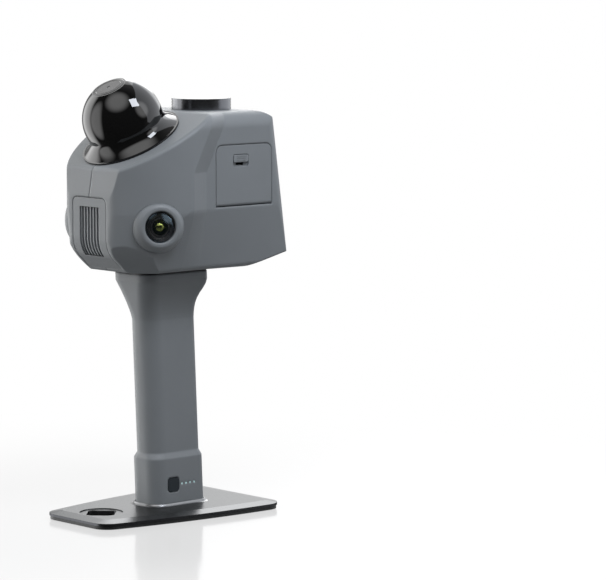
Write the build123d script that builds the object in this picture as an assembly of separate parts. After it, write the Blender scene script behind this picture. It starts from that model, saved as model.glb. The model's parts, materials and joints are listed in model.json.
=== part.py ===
from build123d import *
from copy import deepcopy
import math
import os

# Handheld laser scanner on its base plate. Millimetres, +Z up, nose towards -Y, X = 0 is the mid-plane,
# and the origin lies on the table, at the middle of the footprint.

# Base plate
plate_center_y = -5.75
plate_length = 137.0
plate_front_half_width = 29.5
plate_mid_half_width = 42.0
plate_rear_half_width = 46.2
plate_corner_radius = 12.0
plate_thickness = 3.0
plate_bevel_height = 1.4
plate_bevel_width = 8.0
tray_thickness = 2.2
tray_setback = 0.6
foot_height = 0.8
foot_diameter = 10.0
foot_edge_distance = 13.0
foot_seat_depth = 0.4
front_foot_shift = 4.0
strap_recess_diameter = 27.5
strap_recess_depth = 0.7
strap_hole_across = 23.0
strap_hole_corner_radius = 2.5
strap_hole_from_front = 22.5
seat_recess_depth = 0.6
seat_recess_margin = 3.2

# Battery handle
handle_height = 152.5
handle_foot_y = 3.25
handle_rake = 0.0425
handle_wall = 1.6
handle_foot_width = 26.5
handle_foot_length = 41.8
handle_foot_height = 31.0
handle_shoulder_height = 3.5
grip_width = 22.8
grip_length = 40.0
grip_front_radius = 10.5
handle_foot_front_radius = 9.5
grip_rear_radius = 4.5
collar_width = 38.0
collar_length = 52.0
collar_height = 5.0
flare_height = 25.0
rear_flare_height = 14.0
rear_collar_height = 12.0
flare_steps = 8
width_flare_power = 1.4
front_flare_power = 1.2
rear_flare_power = 2.0
top_cap_thickness = 2.5
top_cap_setback = 0.3
foot_cap_thickness = 6.0

# Cells and boards in the handle
cell_diameter = 18.2
cell_length = 65.2
cell_gap = 0.2
holder_thickness = 2.0
board_thickness = 1.6
board_corner_radius = 1.5
chip_corner_radius = 0.5
chip_height = 1.2

# Power button and charge lights
button_size = 8.8
button_corner_radius = 2.0
button_height = 14.0
button_ahead = 6.4
button_proud = 0.3
button_thickness = 2.2
button_lip = 0.4
button_lip_thickness = 0.5
button_travel = 0.5
light_count = 4
light_pitch = 3.4
light_diameter = 1.4
light_behind_button = 7.0
switch_board_thickness = 0.6
switch_size = 4.0

# Base screw and its brass insert
screw_diameter = 6.35
screw_length = 8.0
screw_head_diameter = 15.0
screw_head_thickness = 1.6
screw_slot_width = 1.5
screw_slot_depth = 0.8
insert_diameter = 10.0
screw_ahead = 2.5

# Head casing
nose_y = -59.55
head_length = 133.8
head_height = 99.0
head_wall = 2.4
seam_gap = 0.3
nose_half_width = 22.0
nose_corner_radius = 10.0
nose_face_height = 66.0
nose_lean = 2.6
nose_lean_start = 48.5
nose_bend_radius = 20.0
brow_drop = 2.0
deck_edge_setback = 3.8
deck_angle = 28.6
deck_edge_radius = 2.5
brow_radius = 1.6
deck_top_radius = 8.0
pod_half_width = 46.5
pod_length = 46.3
rear_half_width = 41.0
bottom_half_width = 33.0
rear_bottom_half_width = 39.0
nose_bottom_narrowing = 5.0
crease_height = 38.0
crease_radius = 14.0
top_edge_radius = 10.0
bottom_edge_radius = 4.0
least_edge_radius = 0.5
step_ramp = 15.0
step_bend_height = 62.5
step_slope = 0.5
chin_length = 15.5
chin_height = 14.5
chin_radius = 18.0
chin_corner_angle = 47.0
chin_corner_height = 26.0
chin_corner_middle = 8.5
chin_corner_middle_setback = 7.3
chin_corner_setback = 15.0
chin_corner_clearance = 1.0
chin_bottom_radius = 5.0
rear_top_setback = 12.4
rear_top_radius = 17.0
rear_corner_radius = 10.0
rear_low_height = 9.0
rear_low_run = 34.0
rear_low_radius = 2.5
rear_bottom_radius = 20.0

# Nose vent
panel_half_width = 16.4
panel_height = 47.5
panel_corner_radius = 4.0
panel_gap = 0.35
panel_lip = 2.5
panel_lip_thickness = 1.5
vent_half_width = 9.5
vent_low = 10.5
vent_high = 41.5
vent_slats = 7
slat_thickness = 1.2
slat_recess = 0.8
grille_reach = 9.0

# Cooling fan and heat sink
fan_size = 26.0
fan_depth = 8.0
fan_center_height = 40.5
fan_bore = 24.0
fan_corner_radius = 2.0
fan_hub_diameter = 12.0
fan_shaft_diameter = 3.0
fan_blades = 7
fan_blade_thickness = 0.8
fan_blade_pitch = 35.0
fan_tip_gap = 0.8
fan_struts = 3
fan_strut_width = 1.8
fan_strut_overlap = 1.0
fan_back_thickness = 1.4
sink_width = 36.0
sink_length = 30.0
sink_base = 2.0
sink_fin_height = 9.0
sink_fins = 9
sink_fin_thickness = 1.2

# Scanning dome and laser unit
dome_from_deck_edge = 34.5
dome_sphere_radius = 25.5
dome_sphere_height = 14.4
dome_cap_radius = 11.3
dome_skirt_radius = 31.2
dome_wall = 1.6
dome_waist_drop = 4.25
dome_skirt_angle = 35.0
trim_ring_radius = 32.3
trim_ring_inner_radius = 27.0
trim_ring_thickness = 1.2
deck_hole_radius = 29.5
laser_can_radius = 28.0
laser_can_depth = 24.0
laser_can_wall = 2.0
laser_flange_radius = 30.8
laser_flange_thickness = 2.0
stator_radius = 10.0
spindle_radius = 4.0
rotor_radius = 19.0
rotor_height = 6.0
rotor_post_width = 3.0
rotor_post_height = 18.0
mirror_width = 18.0
mirror_length = 20.0
mirror_thickness = 2.0
mirror_tilt = 45.0
mirror_lift = 1.0

# Cameras
side_camera_back = 21.8
side_camera_reach = 43.0
side_camera_height = 30.2
side_camera_toe_in = 24.0
side_ring_base_radius = 16.8
side_ring_front_radius = 12.2
side_ring_height = 6.5
side_ring_bulge = 1.0
side_neck_radius = 11.0
side_neck_depth = 5.0
side_lens_radius = 9.8
side_lens_dome = 2.4
side_lens_edge = 1.2
side_barrel_radius = 8.0
side_barrel_length = 13.0
sensor_board_size = 18.0
top_camera_back = 92.2
top_camera_diameter = 38.1
top_camera_height = 7.2
top_camera_lip = 1.4
top_glass_thickness = 1.5
top_barrel_radius = 8.0
top_barrel_length = 12.0
top_groove_count = 3
top_groove_depth = 0.4
top_groove_width = 0.5

# Side door, its latch and the port bay
door_start = 68.8
door_length = 47.0
door_low = 39.5
door_high = 78.5
door_corner_radius = 5.0
door_gap = 0.35
door_knuckle_radius = 1.9
hinge_pin_diameter = 1.6
hinge_lug_length = 4.0
latch_width = 12.3
latch_height = 4.6
latch_from_door_top = 6.6
latch_forward = 2.6
latch_proud = 0.2
latch_corner_radius = 1.2
latch_pocket_depth = 1.3
latch_pocket_gap = 0.35
latch_travel = 2.5
latch_stem_width = 6.0
latch_stem_height = 3.0
latch_keeper_thickness = 1.0
latch_keeper_margin = 1.4
bay_depth = 11.0
bay_wall = 1.6
bay_flange = 2.4
usb_width = 9.0
usb_height = 3.4
usb_length = 7.0
usb_wall = 0.4
usb_back = 1.0
usb_tongue_width = 6.3
usb_tongue_thickness = 0.7
usb_from_door_front = 13.0
card_socket_width = 15.0
card_socket_height = 4.0
card_socket_depth = 9.0
card_socket_from_door_front = 33.0
card_grip = 1.2
port_rise = 16.0
card_width = 11.0
card_length = 15.0
card_thickness = 1.0

# Rear display
screen_width = 58.0
screen_height = 50.0
screen_corner_radius = 5.0
screen_center_height = 52.0
bezel_width = 3.5
bezel_thickness = 4.2
bezel_proud = 0.8
screen_glass_thickness = 1.2
screen_panel_thickness = 2.0

# Chassis, dock and main board
chassis_thickness = 2.0
chassis_half_width = 25.0
chassis_front = 23.0
chassis_length = 74.0
dock_width = 26.0
dock_length = 38.0
dock_corner_radius = 4.0
prong_spacing = 14.0
prong_width = 3.0
prong_length = 8.0
prong_height = 6.0
contact_count = 4
contact_pitch = 3.5
contact_diameter = 1.8
contact_height = 1.0
contact_block_width = 7.0
contact_offset = 10.0
main_board_width = 46.0
main_board_length = 34.0
main_board_start = 62.0
standoff_diameter = 5.0
standoff_height = 6.0
standoff_inset = 4.0
processor_size = 16.0
processor_height = 1.4
shell_screw_diameter = 3.0
shell_screw_head_diameter = 5.5
shell_screw_length = 12.0
shell_screw_head_x = -10.0
shell_post_wall = 1.2
shell_posts = [(7.0, 58.0), (106.0, 91.5), (118.0, 14.0)]

# Clearances
fit_gap = 0.2
slide_gap = 0.3
running_gap = 0.05
rest_gap = 0.1

# Levels and places that follow from the sizes above
plate_bottom_z = foot_height - foot_seat_depth + tray_thickness
plate_top_z = plate_bottom_z + plate_thickness
plate_front_y = plate_center_y - plate_length / 2
handle_bottom_z = plate_top_z - seat_recess_depth
head_bottom_z = handle_bottom_z + handle_height
head_top_z = head_bottom_z + head_height
crease_z = head_bottom_z + crease_height
step_start_y = nose_y + pod_length
step_end_y = step_start_y + step_ramp
step_bend_z = head_bottom_z + step_bend_height
floor_z = head_bottom_z + head_wall
deck_slope = math.tan(math.radians(deck_angle))
deck_top_y = nose_y + deck_edge_setback + (head_height - nose_face_height) / deck_slope
beyond = 60.0
trim_margin = 0.05
cut_margin = 1.0


def rounded(points, radii):
    """A flat outline through the points, with each corner rounded by its radius (0 keeps it sharp)."""
    face = make_face(Polyline(*points, close=True))
    for point, radius in zip(points, radii):
        if radius > 0:
            corner = face.vertices().sort_by_distance(Vector(*point))[0]
            face = fillet(corner, radius)
    return face


def across(sketch, half):
    """A (Y, Z) outline carried across the mid-plane by half to each side."""
    return extrude(Plane.YZ * sketch, amount=half, both=True)


def along(sketch, start, end):
    """An (X, Z) outline carried along Y."""
    return extrude(Pos(0, start, 0) * (Plane.XZ * sketch), amount=end - start, dir=(0, 1, 0))


def upright(sketch, low, high):
    """An (X, Y) outline carried up Z."""
    return extrude(Pos(0, 0, low) * sketch, amount=high - low)


def block(x0, x1, y0, y1, z0, z1):
    """A box between six planes."""
    center = Pos((x0 + x1) / 2, (y0 + y1) / 2, (z0 + z1) / 2)
    return center * Box(x1 - x0, y1 - y0, z1 - z0)


def rod(plane, radius, low, high):
    """A cylinder on a plane's axis."""
    return extrude(plane.offset(low) * Circle(radius), amount=high - low)


def rounded_box(plane, width, length, radius, low, high):
    """A rounded rectangle carried along a plane's axis."""
    return extrude(plane.offset(low) * RectangleRounded(width, length, radius), amount=high - low)


def turned(plane, points):
    """A solid of revolution from (radius, height) points about a plane's axis."""
    profile = Plane.XZ * make_face(Polyline(*points, close=True))
    return plane.location * revolve(profile, Axis.Z)


def mirrored(shape):
    """The same piece on the other side of the mid-plane."""
    return mirror(shape, about=Plane.YZ)


def whole(shape):
    """The shape as one solid."""
    return shape.solids()[0]


# Head casing: one outer form, and the same form set in for the hollow


def side_profile(inset):
    """Side view of the head: nose, sloping deck, flat top, leaning rear, chin and rear chamfer."""
    rear_y = nose_y + head_length
    points = [
        (nose_y, head_bottom_z + chin_height),
        (nose_y, head_bottom_z + nose_lean_start),
        (nose_y + nose_lean, head_bottom_z + nose_face_height - brow_drop),
        (nose_y + deck_edge_setback, head_bottom_z + nose_face_height),
        (deck_top_y, head_top_z),
        (rear_y - rear_top_setback, head_top_z),
        (rear_y, head_bottom_z + rear_low_height),
        (rear_y - rear_low_run, head_bottom_z),
        (nose_y + chin_length, head_bottom_z),
    ]
    front_radii = [chin_radius, nose_bend_radius, 0, 0, deck_top_radius]
    rear_radii = [rear_top_radius, rear_low_radius, rear_bottom_radius, chin_bottom_radius]
    profile = rounded(points, front_radii + rear_radii)
    if inset > 0:
        profile = offset(profile, amount=-inset, kind=Kind.INTERSECTION)
    return across(profile, beyond)


def flare_outline(narrowing, front_y, inset):
    """Plan of the head: a flat nose that swells along an arc into the full width of the pod."""
    nose_x = nose_half_width - narrowing
    pod_x = pod_half_width - narrowing
    bulge = pod_x - nose_x
    reach = step_start_y - front_y
    radius = (bulge**2 + reach**2) / (2 * bulge)
    half_turn = math.asin(reach / radius) / 2
    middle = (pod_x - radius + radius * math.cos(half_turn), step_start_y - radius * math.sin(half_turn))
    rear_y = nose_y + head_length + beyond
    right = Line((0, front_y), (nose_x, front_y))
    right += ThreePointArc((nose_x, front_y), middle, (pod_x, step_start_y))
    right += Polyline((pod_x, step_start_y), (pod_x, rear_y), (0, rear_y), (0, front_y))
    plan = make_face(right)
    corner = plan.vertices().sort_by_distance(Vector(nose_x, front_y))[0]
    plan = fillet(corner, nose_corner_radius)
    plan += mirror(plan, about=Plane.YZ)
    if inset > 0:
        plan = offset(plan, amount=-inset, kind=Kind.INTERSECTION)
    return plan


def flare_plan(inset):
    """The plan carried up through the whole head."""
    plan = flare_outline(0, nose_y - trim_margin, inset)
    return upright(plan, head_bottom_z - beyond, head_top_z + beyond)


def nose_taper(inset):
    """The plan drawn in below the crease, towards the bottom of the nose, and let out above it."""
    levels = (head_bottom_z - beyond / 4, head_top_z + beyond / 4)
    plans = []
    for z in levels:
        narrowing = nose_bottom_narrowing * (crease_z - z) / crease_height
        plans.append(Pos(0, 0, z) * flare_outline(narrowing, nose_y - 2 * trim_margin, inset))
    return loft(plans, ruled=True)


def chin_corner(inset):
    """A form that rounds the left lower front corner in, seen square to that corner."""
    angle = math.radians(chin_corner_angle)
    outward = (math.cos(angle), math.sin(angle))
    bulge = pod_half_width - nose_half_width
    radius = (bulge**2 + pod_length**2) / (2 * bulge)
    edge = outward[0] * (radius - pod_half_width) + outward[1] * step_start_y - radius
    slant = math.hypot(chin_corner_setback, chin_corner_height)
    inward = (inset * chin_corner_height / slant, inset * chin_corner_setback / slant)
    base_z = head_bottom_z - trim_margin
    high = (edge + inset - chin_corner_clearance, base_z + chin_corner_height)
    middle = (edge + chin_corner_middle_setback + inward[0], base_z + chin_corner_middle + inward[1])
    low = (edge + chin_corner_setback + inward[0], base_z + inward[1])
    far = 4 * beyond
    top_z = head_top_z + beyond
    lines = ThreePointArc(high, middle, low)
    lines += Polyline(low, (far, low[1]), (far, top_z), (high[0], top_z), high)
    plane = Plane((0, 0, 0), x_dir=(*outward, 0), z_dir=(outward[1], -outward[0], 0))
    return extrude(plane * make_face(lines), amount=4 * beyond, both=True)


def head_section(half_width, low_half_width, inset):
    """Cross-section of the head: rounded top edges, upright flanks, and a soft crease to a narrow bottom."""
    half = half_width - inset
    low = low_half_width - inset
    top = head_top_z - inset + trim_margin
    bottom = head_bottom_z + inset - trim_margin
    points = [(-low, bottom), (low, bottom), (half, crease_z), (half, top), (-half, top), (-half, crease_z)]
    edge = top_edge_radius - inset
    foot = max(bottom_edge_radius - inset, least_edge_radius)
    return rounded(points, [foot, foot, crease_radius, edge, edge, crease_radius])


def step_side(edge_y, far_y):
    """All that lies on one side of a step edge, which rises upright and then leans back."""
    low = head_bottom_z - beyond
    high = head_top_z + beyond
    leaned_y = edge_y + step_slope * (high - step_bend_z)
    edge = [(edge_y, low), (edge_y, step_bend_z), (leaned_y, high)]
    outline = Polyline(*edge, (far_y, high), (far_y, low), close=True)
    return across(make_face(outline), 2 * beyond)


def rear_body(inset):
    """The rear of the head, whose bottom widens towards the rear face."""
    front_section = Plane.XZ * head_section(rear_half_width, bottom_half_width, inset)
    rear_section = Plane.XZ * head_section(rear_half_width, rear_bottom_half_width, inset)
    front_end = Pos(0, step_end_y - cut_margin, 0) * front_section
    rear_end = Pos(0, nose_y + head_length + cut_margin, 0) * rear_section
    return loft([front_end, rear_end], ruled=True)


def rear_corners(inset):
    """A leaning block whose rounded corners ease the rear face into the flanks."""
    lean = math.atan2(rear_top_setback, head_height - rear_low_height)
    low_z = head_bottom_z - head_height
    rise = head_bottom_z + rear_low_height - low_z
    rear_y = nose_y + head_length + rise * math.tan(lean) - inset / math.cos(lean) + trim_margin
    half = rear_half_width - inset + trim_margin
    radius = rear_corner_radius - inset
    points = [(-half, nose_y), (half, nose_y), (half, rear_y), (-half, rear_y)]
    plan = rounded(points, [0, 0, radius, radius])
    length = 3 * head_height / math.cos(lean)
    return extrude(Pos(0, 0, low_z) * plan, amount=length, dir=(0, -math.sin(lean), math.cos(lean)))


def head_form(inset):
    """The head's outer form, or the same form set in by a wall."""
    front_y = nose_y - beyond
    rear_y = nose_y + head_length + beyond
    front = along(head_section(pod_half_width, bottom_half_width, inset), front_y, rear_y)
    front -= step_side(step_start_y, rear_y + beyond)
    rear = rear_body(inset) - step_side(step_end_y, front_y - beyond)
    front_faces = front.faces().filter_by(lambda f: f.normal_at().Y > 0.5).sort_by(Axis.Z)
    rear_faces = rear.faces().filter_by(lambda f: f.normal_at().Y < -0.5).sort_by(Axis.Z)
    corner = chin_corner(inset)
    form = front & flare_plan(inset) & nose_taper(inset) & corner & mirrored(corner)
    form += rear & rear_corners(inset)
    for front_face, rear_face in zip(front_faces, rear_faces):
        form += loft([front_face, rear_face], ruled=True)
    return whole(form & side_profile(inset))


def soft_deck(form):
    """The outer form with the deck's long edges rounded and the brow over the nose eased."""

    def on_deck(edge):
        heights = [(edge @ part - deck.origin).dot(deck.z_dir) for part in (0, 0.5, 1)]
        return max(abs(height) for height in heights) < 2 * trim_margin

    sides = [edge for edge in form.edges() if on_deck(edge) and abs((edge @ 0.5).X) > nose_half_width]
    form = form.fillet(deck_edge_radius, sides)
    brow_y = nose_y + 2 * deck_edge_setback
    brow = [edge for edge in form.edges() if on_deck(edge) and (edge @ 0.5).Y < brow_y]
    return form.fillet(brow_radius, brow)


def panel_region(margin, end):
    """The nose panel's outline, grown by a margin, from ahead of the nose to a plane behind the chin."""
    half = panel_half_width + margin
    top = head_bottom_z + panel_height + margin
    low = head_bottom_z - beyond
    points = [(-half, low), (half, low), (half, top), (-half, top)]
    radius = panel_corner_radius + margin
    return along(rounded(points, [0, 0, radius, radius]), nose_y - beyond, end)


def dome_plane():
    """The plane of the dome's flange, on the deck."""
    slope = math.radians(deck_angle)
    y = nose_y + deck_edge_setback + dome_from_deck_edge * math.cos(slope)
    z = head_bottom_z + nose_face_height + dome_from_deck_edge * math.sin(slope)
    return Plane((0, y, z), x_dir=(1, 0, 0), z_dir=(0, -math.sin(slope), math.cos(slope)))


def side_camera_plane():
    """The front plane of the right camera's ring, facing out and a little forward."""
    toe = math.radians(side_camera_toe_in)
    origin = (side_camera_reach, nose_y + side_camera_back, head_bottom_z + side_camera_height)
    return Plane(origin, x_dir=(0, 0, 1), z_dir=(math.cos(toe), -math.sin(toe), 0))


def rear_plane():
    """The leaning rear face, with its origin at the middle of the display."""
    lean = math.atan2(rear_top_setback, head_height - rear_low_height)
    y = nose_y + head_length - (screen_center_height - rear_low_height) * math.tan(lean)
    z = head_bottom_z + screen_center_height
    return Plane((0, y, z), x_dir=(1, 0, 0), z_dir=(0, math.cos(lean), math.sin(lean)))


# Places inside the head that several pieces share
deck = dome_plane()
camera = side_camera_plane()
rear = rear_plane()
top_camera = Plane((0, nose_y + top_camera_back, head_top_z))
handle_top_y = handle_foot_y - handle_rake * handle_height
panel_end_y = nose_y + chin_length - head_wall
door_front_y = nose_y + door_start
door_rear_y = door_front_y + door_length
door_low_z = head_bottom_z + door_low
door_high_z = head_bottom_z + door_high
door_inner_x = rear_half_width - head_wall
hinge_x = rear_half_width - door_knuckle_radius
hinge_z = door_low_z + door_gap + door_knuckle_radius
hinge_axis = Plane((hinge_x, 0, hinge_z), x_dir=(1, 0, 0), z_dir=(0, 1, 0))
pin_radius = hinge_pin_diameter / 2
pin_front_y = door_front_y - hinge_lug_length
pin_rear_y = door_rear_y + hinge_lug_length
post_radius = shell_screw_head_diameter / 2 + shell_post_wall


def post_plane(place):
    """A shell post's axis, across the head."""
    return Plane((0, nose_y + place[0], head_bottom_z + place[1]), x_dir=(0, 1, 0), z_dir=(1, 0, 0))


def door_outline(margin):
    """The side door's outline in (Y, Z), grown by a margin, square at the hinge side and round at the top."""
    front, back = door_front_y - margin, door_rear_y + margin
    low, high = door_low_z - margin, door_high_z + margin
    radius = door_corner_radius + margin
    return rounded([(front, low), (back, low), (back, high), (front, high)], [0, 0, radius, radius])


def out_from(sketch, low, high):
    """A (Y, Z) outline carried out along X."""
    return extrude(Pos(low, 0, 0) * (Plane.YZ * sketch), amount=high - low)


def head_shells(outer, inner):
    """Left and right halves of the casing, with the openings for all that shows."""
    shell = outer - inner
    shell -= rod(deck, deck_hole_radius, -beyond / 2, beyond / 2)
    shell -= panel_region(0, panel_end_y)
    shell -= rod(top_camera, top_barrel_radius + fit_gap, -beyond / 4, beyond / 4)
    shell -= top_board_block(fit_gap)
    opening = (screen_width + 2 * (bezel_width + fit_gap), screen_height + 2 * (bezel_width + fit_gap))
    corner = screen_corner_radius + bezel_width
    shell -= rounded_box(rear, *opening, corner, -bezel_thickness, bezel_thickness)
    dock = (dock_width + 2 * fit_gap, dock_length + 2 * fit_gap)
    dock_seat = Plane((0, handle_top_y, head_bottom_z))
    shell -= rounded_box(dock_seat, *dock, dock_corner_radius + fit_gap, -head_wall, 2 * head_wall)
    for place in shell_posts:
        shell += rod(post_plane(place), post_radius, -beyond, beyond) & outer
    camera_hole = rod(camera, side_neck_radius + fit_gap, -beyond / 3, beyond / 3)
    shell -= camera_hole
    shell -= mirrored(camera_hole)
    for place in shell_posts:
        axis = post_plane(place)
        screw_end_x = shell_screw_head_x + shell_screw_length + cut_margin
        shell -= rod(axis, shell_screw_diameter / 2 + running_gap, shell_screw_head_x, screw_end_x)
        shell -= rod(axis, shell_screw_head_diameter / 2 + fit_gap, -beyond, shell_screw_head_x)
    right = whole(shell & block(seam_gap / 2, beyond, -2 * beyond, 2 * beyond, 0, 6 * beyond))
    left = whole(shell & block(-beyond, -seam_gap / 2, -2 * beyond, 2 * beyond, 0, 6 * beyond))
    right -= out_from(door_outline(0), door_inner_x - head_wall, beyond)
    lug = door_knuckle_radius
    for front in (pin_front_y, door_rear_y):
        back = front + hinge_lug_length
        right += block(hinge_x - lug, door_inner_x, front, back, hinge_z - lug, hinge_z + lug)
    right -= rod(hinge_axis, pin_radius + running_gap, pin_front_y, pin_rear_y)
    return whole(right), left


def shell_screws():
    """Three screws across the seam, their heads sunk in the left shell's posts."""
    screws = []
    for place in shell_posts:
        axis = post_plane(place)
        head_x = shell_screw_head_x
        screw = rod(axis, shell_screw_diameter / 2, head_x, head_x + shell_screw_length)
        screw += rod(axis, shell_screw_head_diameter / 2, head_x - shell_screw_diameter, head_x)
        screws.append(whole(screw))
    return Compound(children=screws)


def vent_panel(outer, inner, lipped):
    """The nose panel: a piece of the skin with a lip behind the shells' edge and the vent's opening."""
    skin = (outer - inner) & panel_region(-panel_gap, panel_end_y - panel_gap)
    lip = (inner - lipped) & panel_region(panel_lip, panel_end_y - panel_gap)
    panel = skin + lip
    vent = block(
        -vent_half_width,
        vent_half_width,
        nose_y - beyond,
        panel_end_y + beyond,
        head_bottom_z + vent_low,
        head_bottom_z + vent_high,
    )
    return whole(panel - vent)


def vent_grille(outer, inner, lipped):
    """Upright slats that follow the nose and the chin, held by a bar at the top and the bottom."""
    low = head_bottom_z + vent_low + fit_gap
    high = head_bottom_z + vent_high - fit_gap
    half = vent_half_width - fit_gap
    band = (Pos(0, slat_recess, 0) * outer) - lipped
    front = nose_y - cut_margin
    back = panel_end_y + grille_reach
    pitch = (2 * half - slat_thickness) / (vent_slats - 1)
    places = [-half + slat * pitch for slat in range(vent_slats)]
    fins = [band & block(x, x + slat_thickness, front, back, low, high) for x in places]
    bar_band = inner - lipped
    low_bar = bar_band & block(-half, half, front, back, low, low + slat_thickness)
    high_bar = bar_band & block(-half, half, front, back, high - slat_thickness, high)
    grille = low_bar + high_bar
    for fin in fins:
        grille += fin
    return whole(grille)


# Cooling fan and heat sink


fan_front_y = nose_y + head_wall + panel_lip_thickness + slide_gap
fan_back_y = fan_front_y + fan_depth
fan_axis = Plane((0, fan_back_y, head_bottom_z + fan_center_height), x_dir=(1, 0, 0), z_dir=(0, -1, 0))


def fan_frame():
    """A square fan frame with a round duct, three struts and the fixed shaft on their hub."""
    frame = extrude(fan_axis * RectangleRounded(fan_size, fan_size, fan_corner_radius), amount=fan_depth)
    frame -= rod(fan_axis, fan_bore / 2, 0, fan_depth)
    spider = rod(fan_axis, fan_hub_diameter / 2, 0, fan_back_thickness)
    reach = fan_bore / 2 + fan_strut_overlap
    arm = Pos(reach / 2, 0, fan_back_thickness / 2) * Box(reach, fan_strut_width, fan_back_thickness)
    for strut in range(fan_struts):
        spider += fan_axis.location * (Rot(0, 0, 360 / fan_struts * (strut + 0.25)) * arm)
    shaft = rod(fan_axis, fan_shaft_diameter / 2, fan_back_thickness, fan_depth - fan_tip_gap)
    return whole(frame + spider + shaft)


def fan_rotor():
    """A hub on the frame's shaft, with pitched blades."""
    low = fan_back_thickness + rest_gap
    high = fan_depth - fan_tip_gap
    hub = rod(fan_axis, fan_hub_diameter / 2, low, high)
    reach = fan_bore / 2 - fan_tip_gap
    height = high - low - fan_blade_thickness
    chord = height / math.cos(math.radians(fan_blade_pitch)) - fan_blade_thickness
    for blade in range(fan_blades):
        plate = Box(reach, fan_blade_thickness, chord)
        plate = Pos(reach / 2, 0, (low + high) / 2) * (Rot(fan_blade_pitch, 0, 0) * plate)
        hub += fan_axis.location * (Rot(0, 0, 360 * blade / fan_blades) * plate)
    hub &= rod(fan_axis, reach, low, high)
    return whole(hub - rod(fan_axis, fan_shaft_diameter / 2 + running_gap, 0, fan_depth))


board_bottom_z = floor_z + chassis_thickness + standoff_height
board_top_z = board_bottom_z + board_thickness
board_center_y = nose_y + main_board_start + main_board_length / 2


def main_board():
    """The main board with its processor and a row of smaller chips."""
    seat = Plane((0, board_center_y, board_bottom_z))
    board = rounded_box(seat, main_board_width, main_board_length, board_corner_radius, 0, board_thickness)
    for x, y in standoff_places():
        hole = Plane((x, y, board_bottom_z))
        board -= rod(hole, standoff_diameter / 4, -cut_margin, board_thickness + cut_margin)
    processor = Box(processor_size, processor_size, processor_height)
    return whole(board + Pos(0, board_center_y, board_top_z + processor_height / 2) * processor)


def standoff_places():
    """Corners of the main board, set in from its edges."""
    half_x = main_board_width / 2 - standoff_inset
    half_y = main_board_length / 2 - standoff_inset
    return [(x, board_center_y + y) for x in (-half_x, half_x) for y in (-half_y, half_y)]


def heat_sink():
    """A finned block on the processor."""
    base_z = board_top_z + processor_height
    sink = block(
        -sink_width / 2,
        sink_width / 2,
        board_center_y - sink_length / 2,
        board_center_y + sink_length / 2,
        base_z,
        base_z + sink_base,
    )
    pitch = (sink_width - sink_fin_thickness) / (sink_fins - 1)
    fin_z = base_z + sink_base
    front, back = board_center_y - sink_length / 2, board_center_y + sink_length / 2
    for fin in range(sink_fins):
        x = -sink_width / 2 + fin * pitch
        sink += block(x, x + sink_fin_thickness, front, back, fin_z, fin_z + sink_fin_height)
    return whole(sink)


def prong_places():
    """Middles of the two dock prongs, on the handle's top."""
    return [(x, handle_top_y) for x in (-prong_spacing / 2, prong_spacing / 2)]


def prong_holes(low, high):
    """Clear holes for the prongs."""
    width, length = prong_width + 2 * slide_gap, prong_length + 2 * slide_gap
    radius = width / 2 - rest_gap
    holes = [rounded_box(Plane((x, y, 0)), width, length, radius, low, high) for x, y in prong_places()]
    return holes[0] + holes[1]


def chassis_plate():
    """The plate on the casing's floor over the dock, with pressed-in posts and pegs for the main board."""
    plate = block(
        -chassis_half_width,
        chassis_half_width,
        nose_y + chassis_front,
        nose_y + chassis_front + chassis_length,
        floor_z,
        floor_z + chassis_thickness,
    )
    plate -= prong_holes(floor_z - cut_margin, floor_z + chassis_thickness + cut_margin)
    for x, y in standoff_places():
        base = Plane((x, y, floor_z + chassis_thickness))
        plate += rod(base, standoff_diameter / 2, 0, standoff_height)
        peg_top = standoff_height + board_thickness
        plate += rod(base, standoff_diameter / 4 - running_gap, standoff_height, peg_top)
    return whole(plate)


def contact_window(margin):
    """The outline of the dock's contact block."""
    length = contact_pitch * (contact_count - 1) + contact_block_width
    seat = Plane((0, handle_top_y + contact_offset, head_bottom_z))
    return seat, length + 2 * margin, contact_block_width + 2 * margin


def dock_plate():
    """The plate in the casing's floor that meets the handle, with the prong holes and the contact window."""
    seat = Plane((0, handle_top_y, head_bottom_z))
    plate = rounded_box(seat, dock_width, dock_length, dock_corner_radius, 0, head_wall)
    plate -= prong_holes(head_bottom_z - cut_margin, floor_z + cut_margin)
    window, width, length = contact_window(fit_gap)
    return whole(plate - extrude(window * Rectangle(width, length), amount=head_wall))


def dock_contacts():
    """The head's contact block, set back above the handle's spring pins."""
    window, width, length = contact_window(0)
    seat = window.offset(contact_height + slide_gap)
    return whole(extrude(seat * Rectangle(width, length), amount=head_wall - contact_height - slide_gap))


# Scanning dome and laser unit


def dome_profile(inset):
    """Half of the dome's section: a flared skirt, a sphere and a flat cap."""
    sphere = dome_sphere_radius - inset
    cap = dome_cap_radius
    base_h = trim_ring_thickness
    cap_h = dome_sphere_height + math.sqrt(dome_sphere_radius**2 - cap**2) - inset
    cap_r = math.sqrt(sphere**2 - (cap_h - dome_sphere_height) ** 2)
    waist_h = dome_sphere_height - dome_waist_drop
    waist_r = math.sqrt(sphere**2 - (waist_h - dome_sphere_height) ** 2)
    skirt = dome_skirt_radius - inset
    lines = Line((0, base_h), (skirt, base_h))
    brim = math.radians(dome_skirt_angle)
    tuck = math.asin(dome_waist_drop / sphere)
    tangents = [(-math.cos(brim), math.sin(brim)), (math.sin(tuck), math.cos(tuck))]
    lines += Spline((skirt, base_h), (waist_r, waist_h), tangents=tangents)
    lines += ThreePointArc((waist_r, waist_h), (sphere, dome_sphere_height), (cap_r, cap_h))
    lines += Line((cap_r, cap_h), (0, cap_h))
    lines += Line((0, cap_h), (0, base_h))
    return Plane.XZ * make_face(lines)


def lidar_dome():
    """The dark dome, a turned shell standing on its trim ring."""
    shell = revolve(dome_profile(0), Axis.Z) - revolve(dome_profile(dome_wall), Axis.Z)
    return whole(deck.location * shell)


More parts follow.
